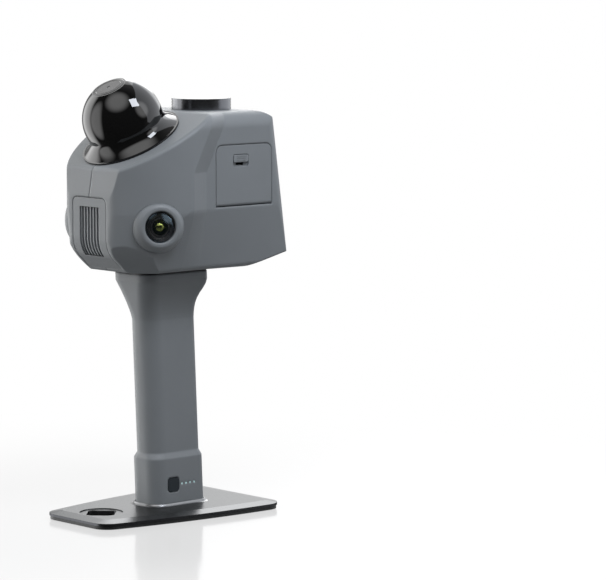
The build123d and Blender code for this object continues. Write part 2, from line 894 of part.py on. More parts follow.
def dome_trim_ring():
    """The flat ring between the dome and the deck."""
    ring = rod(deck, trim_ring_radius, 0, trim_ring_thickness)
    return whole(ring - rod(deck, trim_ring_inner_radius, 0, trim_ring_thickness))


laser_floor = -head_wall - laser_can_depth


def lidar_base():
    """The laser unit's can, hung by its flange under the deck."""
    can = rod(deck, laser_flange_radius, -head_wall - laser_flange_thickness, -head_wall)
    can += rod(deck, laser_can_radius, laser_floor, -head_wall)
    return whole(can - rod(deck, laser_can_radius - laser_can_wall, laser_floor + laser_can_wall, 0))


def lidar_stator():
    """The motor's fixed core on the can's floor, with the spindle that carries the rotor."""
    low = laser_floor + laser_can_wall
    core = rod(deck, stator_radius, low, -rest_gap)
    return whole(core + rod(deck, spindle_radius, -rest_gap, rotor_height))


def lidar_rotor():
    """The spinning head: a disc on the spindle with two posts that hold the mirror."""
    disc = rod(deck, rotor_radius, 0, rotor_height)
    disc -= rod(deck, spindle_radius + running_gap, 0, rotor_height)
    post = Box(rotor_post_width, mirror_length / 2, rotor_post_height)
    for side in (-1, 1):
        x = side * (mirror_width / 2 + rotor_post_width / 2)
        disc += deck.location * (Pos(x, 0, rotor_height + rotor_post_height / 2) * post)
    return whole(disc)


def scan_mirror():
    """The tilted mirror between the rotor's posts."""
    glass = Box(mirror_width, mirror_length, mirror_thickness)
    tilted = Rot(mirror_tilt, 0, 0) * glass
    return whole(deck.location * (Pos(0, 0, rotor_height + rotor_post_height / 2 + mirror_lift) * tilted))


# Cameras


def lens_cap(plane, radius, edge, rise, low):
    """A lens with a cylindrical edge and a domed front."""
    lines = Line((0, low), (radius, low))
    lines += Line((radius, low), (radius, low + edge))
    bulge = (radius**2 + rise**2) / (2 * rise)
    half_turn = math.asin(radius / bulge) / 2
    middle = (bulge * math.sin(half_turn), low + edge + rise - bulge + bulge * math.cos(half_turn))
    lines += ThreePointArc((radius, low + edge), middle, (0, low + edge + rise))
    lines += Line((0, low + edge + rise), (0, low))
    return plane.location * revolve(Plane.XZ * make_face(lines), Axis.Z)


lens_seat = -side_lens_edge - side_lens_dome / 2


def camera_ring(outer):
    """The right camera's mound on the flank, with a neck through the casing."""
    foot = (side_ring_base_radius, -side_ring_height)
    brim = (side_ring_front_radius, 0)
    slant = math.dist(foot, brim)
    middle = (
        (foot[0] + brim[0]) / 2 + side_ring_bulge * side_ring_height / slant,
        -side_ring_height / 2 + side_ring_bulge * (foot[0] - brim[0]) / slant,
    )
    lines = Polyline(brim, (0, 0), (0, -side_ring_height), foot)
    lines += ThreePointArc(foot, middle, brim)
    mound = camera.location * revolve(Plane.XZ * make_face(lines), Axis.Z) - outer
    neck_end = -side_ring_height - side_neck_depth
    ring = mound + rod(camera, side_neck_radius, neck_end, -side_ring_height / 3)
    ring -= rod(camera, side_lens_radius + fit_gap, lens_seat, side_ring_height)
    return whole(ring - rod(camera, side_barrel_radius + fit_gap, neck_end, 0))


def camera_lens():
    """The right camera's front glass."""
    return whole(lens_cap(camera, side_lens_radius, side_lens_edge, side_lens_dome, lens_seat))


def camera_barrel():
    """The right camera's barrel behind its front glass."""
    return whole(rod(camera, side_barrel_radius, lens_seat - side_barrel_length, lens_seat))


def camera_board():
    """The right camera's sensor board on the barrel's end."""
    end = lens_seat - side_barrel_length
    size = sensor_board_size
    return whole(rounded_box(camera, size, size, board_corner_radius, end - board_thickness, end))


def top_camera_bezel():
    """The turned ring on top, with fine grooves and a seat for its glass."""
    radius = top_camera_diameter / 2
    ring = rod(top_camera, radius, 0, top_camera_height)
    for groove in range(top_groove_count):
        low = (groove + 1) * top_camera_height / (top_groove_count + 1)
        cut = rod(top_camera, radius + cut_margin, low, low + top_groove_width)
        ring -= cut - rod(top_camera, radius - top_groove_depth, low, low + top_groove_width)
    seat = top_camera_height - top_glass_thickness
    ring -= rod(top_camera, radius - top_camera_lip, seat, top_camera_height)
    return whole(ring - rod(top_camera, top_barrel_radius + fit_gap, 0, seat))


def top_camera_glass():
    """The flat glossy disc over the top camera."""
    seat = top_camera_height - top_glass_thickness
    radius = top_camera_diameter / 2 - top_camera_lip - fit_gap
    return whole(rod(top_camera, radius, seat, top_camera_height))


def top_camera_barrel():
    """The top camera's lens barrel under its glass."""
    seat = top_camera_height - top_glass_thickness
    return whole(rod(top_camera, top_barrel_radius, seat - top_barrel_length, seat))


def top_board_block(margin):
    """The top camera's sensor board, or the room that the casing keeps for it."""
    end = top_camera_height - top_glass_thickness - top_barrel_length
    size = sensor_board_size + 2 * margin
    low = end - board_thickness - margin
    return rounded_box(top_camera, size, size, board_corner_radius + margin, low, end + margin)


def top_camera_board():
    """The top camera's sensor board."""
    return whole(top_board_block(0))


# Side door, its latch and the port bay


door_middle_y = (door_front_y + door_rear_y) / 2
latch_y = door_middle_y - latch_forward
latch_top_z = door_high_z - latch_from_door_top
latch_middle_z = latch_top_z - latch_height / 2
keeper_x = door_inner_x - slide_gap
latch_floor_x = rear_half_width - latch_pocket_depth


def side_door():
    """The flush cover over the ports, with a round hinge edge and a slot for its latch."""
    outline = door_outline(-door_gap)
    door = out_from(outline, door_inner_x, rear_half_width)
    door -= block(0, beyond, pin_front_y, pin_rear_y, door_low_z - cut_margin, hinge_z)
    door += rod(hinge_axis, door_knuckle_radius, door_front_y + door_gap, door_rear_y - door_gap)
    door -= rod(hinge_axis, pin_radius + running_gap, door_front_y, door_rear_y)
    half = latch_stem_width / 2 + slide_gap
    low = latch_middle_z - latch_stem_height / 2 - slide_gap - latch_travel
    high = latch_middle_z + latch_stem_height / 2 + slide_gap
    door -= block(0, beyond, latch_y - half, latch_y + half, low, high)
    size = (latch_width + 2 * latch_pocket_gap, latch_height + latch_travel + 2 * latch_pocket_gap)
    pocket = RectangleRounded(*size, latch_corner_radius + latch_pocket_gap)
    middle = Pos(latch_y, latch_middle_z - latch_travel / 2)
    return whole(door - out_from(middle * pocket, latch_floor_x, beyond))


def door_latch():
    """The thumb slider: an outer tab, a stem through the door and a tongue behind it."""
    tab_x = latch_floor_x + rest_gap
    tab = RectangleRounded(latch_width, latch_height, latch_corner_radius)
    latch = out_from(Pos(latch_y, latch_middle_z) * tab, tab_x, rear_half_width + latch_proud)
    half = latch_stem_width / 2
    low, high = latch_middle_z - latch_stem_height / 2, latch_middle_z + latch_stem_height / 2
    latch += block(keeper_x, tab_x, latch_y - half, latch_y + half, low, high)
    tongue_half = half + latch_keeper_margin
    tongue_top = door_high_z - door_gap - slide_gap
    latch += block(
        keeper_x - latch_keeper_thickness,
        keeper_x,
        latch_y - tongue_half,
        latch_y + tongue_half,
        low - latch_keeper_margin,
        tongue_top,
    )
    return whole(latch)


def door_hinge_pin():
    """The steel pin along the door's lower edge."""
    return whole(rod(hinge_axis, pin_radius, pin_front_y, pin_rear_y))


bay_low_z = hinge_z + door_knuckle_radius + slide_gap
bay_back_x = door_inner_x - bay_depth
port_face_x = bay_back_x - bay_wall
port_z = bay_low_z + port_rise
usb_y = door_front_y + usb_from_door_front
card_y = door_front_y + card_socket_from_door_front


def port_cut(y, width, height, margin, low, high):
    """A rectangular hole at a port, through X."""
    half_y, half_z = width / 2 + margin, height / 2 + margin
    return block(low, high, y - half_y, y + half_y, port_z - half_z, port_z + half_z)


def port_tray():
    """The tray behind the door, against the casing's inner face, with windows for the ports."""
    front, back = door_front_y - bay_flange, door_rear_y + bay_flange
    tray = block(port_face_x, door_inner_x, front, back, bay_low_z, door_high_z + bay_flange)
    tray -= block(bay_back_x, beyond, door_front_y, door_rear_y, bay_low_z + bay_wall, door_high_z)
    tray -= block(keeper_x, beyond, door_front_y, door_rear_y, bay_low_z - cut_margin, door_high_z)
    low, high = port_face_x - cut_margin, bay_back_x + cut_margin
    tray -= port_cut(usb_y, usb_width, usb_height, fit_gap, low, high)
    tray -= port_cut(card_y, card_socket_width, card_socket_height, fit_gap, low, high)
    return whole(tray & rear_corners(head_wall))


def port_board():
    """The board behind the tray that carries both sockets."""
    board = block(
        port_face_x - board_thickness,
        port_face_x,
        door_front_y,
        door_rear_y,
        bay_low_z + bay_wall,
        door_high_z - bay_flange,
    )
    return whole(board - port_cut(card_y, card_width, card_thickness, fit_gap, 0, port_face_x))


def usb_socket():
    """The metal socket with its tongue."""
    socket = port_cut(usb_y, usb_width, usb_height, 0, port_face_x, port_face_x + usb_length)
    socket = fillet(socket.edges().filter_by(Axis.X), usb_height / 2 - fit_gap)
    end = port_face_x + usb_length
    hollow = port_cut(usb_y, usb_width, usb_height, -usb_wall, port_face_x + usb_back, end)
    tongue = port_cut(usb_y, usb_tongue_width, usb_tongue_thickness, 0, port_face_x, end - usb_back)
    return whole(socket - hollow + tongue)


def card_socket():
    """The memory card's socket."""
    end = port_face_x + card_socket_depth
    socket = port_cut(card_y, card_socket_width, card_socket_height, 0, port_face_x, end)
    return whole(socket - port_cut(card_y, card_width, card_thickness, fit_gap, port_face_x, end))


def memory_card():
    """The memory card, a little proud of its socket so that it can be gripped."""
    end = port_face_x + card_socket_depth + card_grip
    return whole(port_cut(card_y, card_width, card_thickness, 0, end - card_length, end))


# Rear display


ledge_thickness = bezel_thickness - screen_glass_thickness - screen_panel_thickness
glass_back = bezel_proud - screen_glass_thickness
panel_front = glass_back - ledge_thickness


def rear_bezel():
    """The frame of the display, set in the casing's leaning rear face."""
    width, height = screen_width + 2 * bezel_width, screen_height + 2 * bezel_width
    back = bezel_proud - bezel_thickness
    frame = rounded_box(rear, width, height, screen_corner_radius + bezel_width, back, bezel_proud)
    frame -= rounded_box(rear, screen_width, screen_height, screen_corner_radius, glass_back, bezel_proud)
    window = (screen_width - 2 * bezel_width, screen_height - 2 * bezel_width)
    frame -= rounded_box(rear, *window, screen_corner_radius / 2, panel_front, glass_back)
    pocket = rounded_box(rear, screen_width, screen_height, screen_corner_radius, back, panel_front)
    return whole(frame - pocket)


def display_glass():
    """The touch glass, flush with its bezel."""
    width, height = screen_width - 2 * fit_gap, screen_height - 2 * fit_gap
    return whole(rounded_box(rear, width, height, screen_corner_radius - fit_gap, glass_back, bezel_proud))


def display_panel():
    """The display behind the glass."""
    width, height = screen_width - 2 * fit_gap, screen_height - 2 * fit_gap
    back = panel_front - screen_panel_thickness
    return whole(rounded_box(rear, width, height, screen_corner_radius - fit_gap, back, panel_front))


# Battery handle


def share(height, start, end):
    """How far a height is on its way from a start to an end, from 0 to 1."""
    return min(max((height - start) / (end - start), 0.0), 1.0)


flare_end = handle_height - top_cap_thickness - collar_height
flare_start = flare_end - flare_height
rear_flare_end = handle_height - rear_collar_height
rear_flare_start = rear_flare_end - rear_flare_height
shoulder_end = handle_foot_height + handle_shoulder_height


def handle_section(height, inset):
    """The handle's level section at a height: round in front, squarer behind, and shifted by the rake."""
    foot = 1 - share(height, handle_foot_height, shoulder_end)
    front_flare = share(height, flare_start, flare_end)
    rear_flare = share(height, rear_flare_start, rear_flare_end)
    width = grip_width + foot * (handle_foot_width - grip_width)
    width += front_flare**width_flare_power * (collar_width - grip_width)
    foot_reach = foot * (handle_foot_length - grip_length) / 2
    collar_reach = (collar_length - grip_length) / 2
    front = grip_length / 2 + foot_reach + front_flare**front_flare_power * collar_reach - inset
    back = grip_length / 2 + foot_reach + rear_flare**rear_flare_power * collar_reach - inset
    half = width / 2 - inset
    axis_y = handle_foot_y - handle_rake * height
    points = [(-half, axis_y - front), (half, axis_y - front), (half, axis_y + back), (-half, axis_y + back)]
    nose = grip_front_radius + foot * (handle_foot_front_radius - grip_front_radius) - inset
    tail = grip_rear_radius - inset
    return rounded(points, [nose, nose, tail, tail])


def handle_form(inset, low, high):
    """The handle's form between two heights, whole or set in by a wall."""
    step = flare_height / flare_steps
    levels = [handle_foot_height, shoulder_end] + [flare_start + step * k for k in range(flare_steps + 1)]
    levels = [low] + [level for level in levels if low < level < high] + [high]
    sections = [Pos(0, 0, handle_bottom_z + level) * handle_section(level, inset) for level in levels]
    return loft(sections, ruled=True)


button_y = handle_foot_y - button_ahead
button_z = handle_bottom_z + button_height
foot_side_x = handle_foot_width / 2
foot_inner_x = foot_side_x - handle_wall
sleeve_height = handle_height - top_cap_thickness


def on_side(y, z, sketch, low, high):
    """An outline on the handle's right side, carried along X."""
    return out_from(Pos(y, z) * sketch, low, high)


def light_places():
    """Middles of the charge lights, in a row behind the button."""
    first = button_y + light_behind_button
    return [(first + light_pitch * k, button_z) for k in range(light_count)]


def handle_sleeve():
    """The hollow handle moulding, with its button hole and light holes."""
    sleeve = handle_form(0, 0, sleeve_height) - handle_form(handle_wall, 0, sleeve_height)
    size = button_size + 2 * slide_gap
    hole = RectangleRounded(size, size, button_corner_radius + slide_gap)
    sleeve -= on_side(button_y, button_z, hole, 0, beyond)
    for y, z in light_places():
        sleeve -= on_side(y, z, Circle(light_diameter / 2 + running_gap), 0, beyond)
    return whole(sleeve)


def power_button():
    """The power button, held in the sleeve by the lip behind its cap."""
    cap = RectangleRounded(button_size, button_size, button_corner_radius)
    outer_x = foot_side_x + button_proud
    button = on_side(button_y, button_z, cap, outer_x - button_thickness, outer_x)
    size = button_size + 2 * (slide_gap + button_lip)
    lip = RectangleRounded(size, size, button_corner_radius)
    lip_x = foot_inner_x - rest_gap
    return whole(button + on_side(button_y, button_z, lip, lip_x - button_lip_thickness, lip_x))


switch_top_x = foot_inner_x - rest_gap - button_lip_thickness - button_travel - fit_gap
switch_board_x = cell_diameter / 2 + fit_gap


def button_switch():
    """The switch board behind the button and the lights, with its switch and four light sources."""
    lights = light_places()
    front, back = button_y - button_size / 2, lights[-1][0] + light_pitch
    low, high = button_z - button_size / 2, button_z + button_size / 2
    board = block(switch_board_x, switch_board_x + switch_board_thickness, front, back, low, high)
    board += on_side(button_y, button_z, Rectangle(switch_size, switch_size), switch_board_x, switch_top_x)
    for y, z in lights:
        board += on_side(y, z, Rectangle(light_diameter, light_diameter), switch_board_x, switch_top_x)
    return whole(board)


def led_lenses():
    """The four light pipes in the sleeve's wall."""
    lenses = []
    for y, z in light_places():
        lenses.append(whole(on_side(y, z, Circle(light_diameter / 2), switch_top_x + rest_gap, foot_side_x)))
    return Compound(children=lenses)


def prong(x, y, high):
    """One dock prong, from the cap's underside up to a height over the cap."""
    seat = Plane((x, y, head_bottom_z))
    return rounded_box(seat, prong_width, prong_length, prong_width / 2 - rest_gap, -top_cap_thickness, high)


board_height = sleeve_height - top_cap_thickness - rest_gap
board_seat = Plane((0, handle_foot_y - handle_rake * board_height, handle_bottom_z + board_height))
board_size = (grip_width - 2 * (handle_wall + 2 * fit_gap), 2 * (cell_diameter - grip_rear_radius))


def handle_top_cap():
    """The cap on the sleeve, which meets the head's floor."""
    low = handle_bottom_z + sleeve_height
    cap = upright(handle_section(sleeve_height, top_cap_setback), low, head_bottom_z)
    cap += handle_form(handle_wall + fit_gap, sleeve_height - top_cap_thickness, sleeve_height)
    for x, y in prong_places():
        cap -= prong(x, y, 0)
    for x, y in contact_places():
        cap -= rod(Plane((x, y, head_bottom_z)), contact_diameter / 2 + running_gap, -top_cap_thickness, 0)
    return whole(cap - chip_block(slide_gap, chip_height + slide_gap))


def dock_prongs():
    """The two prongs that stand in the cap and locate the head."""
    return Compound(children=[whole(prong(x, y, prong_height)) for x, y in prong_places()])


def contact_places():
    """Middles of the spring contacts."""
    first = -contact_pitch * (contact_count - 1) / 2
    return [(first + contact_pitch * k, handle_top_y + contact_offset) for k in range(contact_count)]


def contact_pins():
    """The spring contacts in the cap."""
    pins = []
    for x, y in contact_places():
        foot = Plane((x, y, head_bottom_z))
        pins.append(whole(rod(foot, contact_diameter / 2, -top_cap_thickness, contact_height)))
    return Compound(children=pins)


screw_y = handle_foot_y - screw_ahead


def handle_foot_cap():
    """The plug in the sleeve's bottom, with the seat of the thread insert."""
    plug = handle_form(handle_wall + fit_gap, 0, foot_cap_thickness)
    seat = Plane((0, screw_y, handle_bottom_z))
    return whole(plug - rod(seat, insert_diameter / 2, 0, foot_cap_thickness))


def thread_insert():
    """The brass insert for the base screw."""
    seat = Plane((0, screw_y, handle_bottom_z))
    insert = rod(seat, insert_diameter / 2, 0, foot_cap_thickness)
    return whole(insert - rod(seat, screw_diameter / 2 + running_gap, 0, foot_cap_thickness))


rake_angle = math.atan(handle_rake)
holder_lift = grip_length / 2 * handle_rake + rest_gap
stack_plane = Plane(
    (0, handle_foot_y - handle_rake * foot_cap_thickness, handle_bottom_z + foot_cap_thickness + holder_lift),
    x_dir=(1, 0, 0),
    z_dir=(0, -math.sin(rake_angle), math.cos(rake_angle)),
)
layer_pitch = cell_length + holder_thickness
stack_room = board_height - board_thickness - foot_cap_thickness - 2 * holder_lift - holder_thickness
cell_layers = int(stack_room // layer_pitch)


def battery_cells():
    """Cells in pairs, stacked along the raked handle."""
    cells = {}
    offset_y = (cell_diameter + cell_gap) / 2
    for layer in range(cell_layers):
        for row, y in enumerate((-offset_y, offset_y)):
            low = holder_thickness + layer * layer_pitch
            spot = stack_plane.offset(low).location * Pos(0, y, 0)
            cell = Pos(0, 0, cell_length / 2) * Cylinder(cell_diameter / 2, cell_length)
            cells[f"battery_cell_{layer * 2 + row + 1}"] = whole(spot * cell)
    return cells


def cell_holders():
    """Insulating plates under, between and over the cells."""
    half_width = grip_width / 2 - handle_wall - fit_gap
    half_length = grip_length / 2 - handle_wall - fit_gap
    nose = grip_front_radius - handle_wall
    tail = grip_rear_radius - handle_wall
    front = [(-half_width, -half_length), (half_width, -half_length)]
    plate = rounded(front + [(half_width, half_length), (-half_width, half_length)], [nose, nose, tail, tail])
    holders = []
    for level in range(cell_layers + 1):
        seat = stack_plane.offset(level * layer_pitch)
        holders.append(whole(extrude(seat * plate, amount=holder_thickness)))
    return Compound(children=holders)


def chip_block(margin, high):
    """The protection board's chip, or the pocket for it, from the board's top up."""
    width, length = board_size[0] / 2 + 2 * margin, board_size[1] / 3 + 2 * margin
    return rounded_box(board_seat, width, length, chip_corner_radius + margin, 0, high)


def battery_board():
    """The battery's protection board, under the cap that holds its contacts."""
    board = rounded_box(board_seat, *board_size, board_corner_radius, -board_thickness, 0)
    return whole(board + chip_block(0, chip_height))


# Base plate


def plate_outline(inset):
    """The plate's plan: straight ends and long curved sides that widen to the rear."""
    front, back = -plate_length / 2, plate_length / 2
    front_x, rear_x = plate_front_half_width, plate_rear_half_width
    side = ThreePointArc((front_x, front), (plate_mid_half_width, 0), (rear_x, back))
    lines = Line((-front_x, front), (front_x, front)) + side
    lines += Line((rear_x, back), (-rear_x, back))
    lines += mirror(side, about=Plane.YZ)
    plan = make_face(lines)
    plan = fillet(plan.vertices(), plate_corner_radius)
    if inset > 0:
        plan = offset(plan, amount=-inset, kind=Kind.INTERSECTION)
    return Pos(0, plate_center_y) * plan


strap_y = plate_front_y + strap_hole_from_front
strap_seat = Plane((0, strap_y, plate_top_z))


def strap_hole(margin, low, high):
    """The strap's diamond hole, corner to the front."""
    corner_loss = 2 * strap_hole_corner_radius * (math.sqrt(2) - 1)
    side = (strap_hole_across + corner_loss) / math.sqrt(2) + 2 * margin
    diamond = Rot(0, 0, 45) * RectangleRounded(side, side, strap_hole_corner_radius + margin)
    return upright(Pos(0, strap_y) * diamond, low, high)


def base_plate():
    """The metal plate: a broad bevel, the handle's seat, the strap's recess and the screw's hole."""
    bevel_z = plate_top_z - plate_bevel_height
    plate = upright(plate_outline(0), plate_bottom_z, bevel_z)
    rim = Pos(0, 0, bevel_z) * plate_outline(0)
    crown = Pos(0, 0, plate_top_z) * plate_outline(plate_bevel_width)
    plate += loft([rim, crown], ruled=True)
    plate -= rod(strap_seat, strap_recess_diameter / 2, -strap_recess_depth, plate_thickness)
    plate -= strap_hole(0, plate_bottom_z - cut_margin, plate_top_z + cut_margin)
    plate -= upright(handle_section(0, -seat_recess_margin), handle_bottom_z, plate_top_z + cut_margin)
    return whole(plate - rod(Plane((0, screw_y, 0)), screw_diameter / 2 + slide_gap, 0, plate_top_z))


tray_bottom_z = plate_bottom_z - tray_thickness


def foot_places():
    """Middles of the four rubber feet."""
    front_x = plate_front_half_width - foot_edge_distance
    rear_x = plate_rear_half_width - foot_edge_distance
    front_y = plate_front_y + foot_edge_distance - front_foot_shift
    rear_y = plate_front_y + plate_length - foot_edge_distance
    return [(-front_x, front_y), (front_x, front_y), (-rear_x, rear_y), (rear_x, rear_y)]


def base_tray():
    """The dark tray under the plate, with seats for the feet and the screw's head."""
    tray = upright(plate_outline(tray_setback), tray_bottom_z, plate_bottom_z)
    low = tray_bottom_z - cut_margin
    tray -= strap_hole(tray_setback, low, plate_bottom_z + cut_margin)
    tray -= rod(Plane((0, screw_y, 0)), screw_head_diameter / 2 + slide_gap, low, plate_bottom_z)
    for x, y in foot_places():
        tray -= rod(Plane((x, y, tray_bottom_z)), foot_diameter / 2 + running_gap, 0, foot_seat_depth)
    return whole(tray)


def base_feet():
    """Four rubber feet, glued in their seats."""
    feet = [whole(rod(Plane((x, y, 0)), foot_diameter / 2, 0, foot_height)) for x, y in foot_places()]
    return Compound(children=feet)


def base_screw():
    """The captive screw that holds the plate on the handle, with a coin slot in its head."""
    axis = Plane((0, screw_y, plate_bottom_z - rest_gap))
    screw = rod(axis, screw_head_diameter / 2, -screw_head_thickness, 0)
    screw += rod(axis, screw_diameter / 2, 0, screw_length)
    slot = Box(screw_head_diameter + cut_margin, screw_slot_width, 2 * screw_slot_depth)
    return whole(screw - axis.offset(-screw_head_thickness).location * slot)


def build():
    """Every node of the scanner, by name."""
    outer = soft_deck(head_form(0))
    inner = head_form(head_wall)
    lipped = head_form(head_wall + panel_lip_thickness)
    right, left = head_shells(deepcopy(outer), deepcopy(inner))
    nodes = {
        "head_shell_right": right,
        "head_shell_left": left,
        "shell_screws": shell_screws(),
        "vent_panel": vent_panel(deepcopy(outer), deepcopy(inner), deepcopy(lipped)),
        "vent_grille": vent_grille(deepcopy(outer), deepcopy(inner), deepcopy(lipped)),
        "fan_frame": fan_frame(),
        "fan_rotor": fan_rotor(),
        "main_board": main_board(),
        "heat_sink": heat_sink(),
        "chassis_plate": chassis_plate(),
        "dock_plate": dock_plate(),
        "dock_contacts": dock_contacts(),
        "lidar_dome": lidar_dome(),
        "dome_trim_ring": dome_trim_ring(),
        "lidar_base": lidar_base(),
        "lidar_stator": lidar_stator(),
        "lidar_rotor": lidar_rotor(),
        "scan_mirror": scan_mirror(),
        "top_camera_bezel": top_camera_bezel(),
        "top_camera_glass": top_camera_glass(),
        "top_camera_barrel": top_camera_barrel(),
        "top_camera_board": top_camera_board(),
        "side_door": side_door(),
        "door_latch": door_latch(),
        "door_hinge_pin": door_hinge_pin(),
        "port_tray": port_tray(),
        "port_board": port_board(),
        "usb_socket": usb_socket(),
        "card_socket": card_socket(),
        "memory_card": memory_card(),
        "rear_bezel": rear_bezel(),
        "display_glass": display_glass(),
        "display_panel": display_panel(),
        "handle_sleeve": handle_sleeve(),
        "handle_top_cap": handle_top_cap(),
        "handle_foot_cap": handle_foot_cap(),
        "dock_prongs": dock_prongs(),
        "contact_pins": contact_pins(),
        "thread_insert": thread_insert(),
        "cell_holders": cell_holders(),
        "battery_board": battery_board(),
        "power_button": power_button(),
        "button_switch": button_switch(),
        "led_lenses": led_lenses(),
        "base_plate": base_plate(),
        "base_tray": base_tray(),
        "base_feet": base_feet(),
        "base_screw": base_screw(),
    }
    side_camera = {
        "camera_ring": camera_ring(deepcopy(outer)),
        "camera_lens": camera_lens(),
        "camera_barrel": camera_barrel(),
        "camera_board": camera_board(),
    }
    for name, shape in side_camera.items():
        nodes[f"right_{name}"] = shape
        nodes[f"left_{name}"] = mirrored(shape)
    nodes.update(battery_cells())
    return nodes


if __name__ == "__main__":
    os.makedirs("parts", exist_ok=True)
    for node, shape in build().items():
        export_step(shape, f"parts/{node}.step")
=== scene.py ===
import json
import math

import bmesh
import bpy
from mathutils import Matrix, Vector


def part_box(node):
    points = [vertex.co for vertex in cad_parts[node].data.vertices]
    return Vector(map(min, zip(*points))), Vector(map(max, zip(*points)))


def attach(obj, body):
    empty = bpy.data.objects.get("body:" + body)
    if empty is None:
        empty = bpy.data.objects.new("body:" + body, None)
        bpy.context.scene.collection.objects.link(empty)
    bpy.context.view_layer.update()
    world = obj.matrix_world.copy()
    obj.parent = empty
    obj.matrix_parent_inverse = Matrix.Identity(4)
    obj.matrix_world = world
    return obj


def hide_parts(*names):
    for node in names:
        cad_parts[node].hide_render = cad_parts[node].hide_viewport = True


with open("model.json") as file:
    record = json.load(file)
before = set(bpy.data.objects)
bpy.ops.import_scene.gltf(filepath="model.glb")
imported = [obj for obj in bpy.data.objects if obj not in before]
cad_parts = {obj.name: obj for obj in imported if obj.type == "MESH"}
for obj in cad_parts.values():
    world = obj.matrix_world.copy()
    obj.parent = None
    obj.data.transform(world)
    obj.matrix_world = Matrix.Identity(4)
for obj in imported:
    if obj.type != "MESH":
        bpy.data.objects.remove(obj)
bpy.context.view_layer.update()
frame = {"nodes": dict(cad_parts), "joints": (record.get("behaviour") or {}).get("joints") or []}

# Camera. The scanner is seen from its right front, from a little above its head,
# through a long lens that keeps its upright edges upright.
camera_place = (1.5094, -1.2675, 0.3610)
camera_tilt, camera_turn = math.radians(83.667), math.radians(47.388)
sensor_width, focal_length = 36, 184.85  # millimetres
bpy.ops.object.select_all(action="DESELECT")
bpy.ops.object.camera_add(location=camera_place, rotation=(camera_tilt, 0, camera_turn))
bpy.context.object.data.sensor_width = sensor_width
bpy.context.object.data.lens = focal_length
bpy.context.scene.camera = bpy.context.object


# Floor. A sheet of white acrylic on a sweep, polished enough to mirror the plate and the handle
# faintly, and lit so that it is lost in white a short way from the scanner.
def tint(code):
    """An sRGB hex colour as linear light."""
    parts = [int(code[i : i + 2], 16) / 255 for i in (1, 3, 5)]
    return tuple(p / 12.92 if p <= 0.04045 else ((p + 0.055) / 1.055) ** 2.4 for p in parts) + (1,)


def node(tree, kind, settings, links=(), into=None):
    """Adds a node, sets its options and inputs, links its inputs, and feeds one output to a socket."""
    made = tree.nodes.new(kind)
    for key, value in settings.items():
        if isinstance(key, str) and hasattr(made, key):
            setattr(made, key, value)
        else:
            made.inputs[key].default_value = value
    for key, source in links:
        tree.links.new(source, made.inputs[key])
    if into:
        tree.links.new(made.outputs[into[0]], into[1])
    return made


def material(name, settings):
    """A new material with values set on its shader; gives back its tree and shader too."""
    made = bpy.data.materials.new(name)
    made.use_nodes = True
    shader = made.node_tree.nodes["Principled BSDF"]
    for key, value in settings.items():
        shader.inputs[key].default_value = value
    return made, made.node_tree, shader


floor_size = 60
white_near, white_far = 0.12, 0.42  # how far from the handle the floor starts to whiten, and is white
near_glow = 0.62  # how much of the white shows close to the scanner
bpy.ops.mesh.primitive_plane_add(size=floor_size, location=(0, 0, 0))
floor = bpy.context.object
floor.name = "studio_floor"
floor.visible_glossy = False
# White acrylic: a pale sheet with a polish that mirrors what stands on it.
acrylic, tree, shader = material("white_acrylic", {"Base Color": tint("#949494"), "Roughness": 0.12})
coords = node(tree, "ShaderNodeTexCoord", {})
away = node(tree, "ShaderNodeVectorMath", {"operation": "LENGTH"}, [(0, coords.outputs["Object"])])
fade = node(
    tree,
    "ShaderNodeMapRange",
    {
        "interpolation_type": "SMOOTHSTEP",
        "From Min": white_near,
        "From Max": white_far,
        "To Min": near_glow,
        "To Max": 1.0,
    },
    [("Value", away.outputs["Value"])],
)
ray = node(tree, "ShaderNodeLightPath", {})
share = node(
    tree,
    "ShaderNodeMath",
    {"operation": "MULTIPLY"},
    [(0, fade.outputs["Result"]), (1, ray.outputs["Is Camera Ray"])],
)
glow = node(tree, "ShaderNodeEmission", {"Strength": 1.0})
node(
    tree,
    "ShaderNodeMixShader",
    {},
    [(0, share.outputs["Value"]), (1, shader.outputs["BSDF"]), (2, glow.outputs["Emission"])],
    ("Shader", tree.nodes["Material Output"].inputs["Surface"]),
)
floor.data.materials.append(acrylic)

# Studio light. A dim room with a white sweep behind the scanner. Soft glows on its walls show in the
# glossy pieces, and large panels light the casing, with a small key above the scanner's right.
world = bpy.data.worlds.new("studio")
bpy.context.scene.world = world
world.use_nodes = True
tree = world.node_tree
surround = tree.nodes["Background"]
surround.inputs["Color"].default_value = (1, 1, 1, 1)
coords = node(tree, "ShaderNodeTexCoord", {})
ray = node(tree, "ShaderNodeLightPath", {})
level = ray.outputs["Is Camera Ray"]  # behind the floor the camera sees plain white
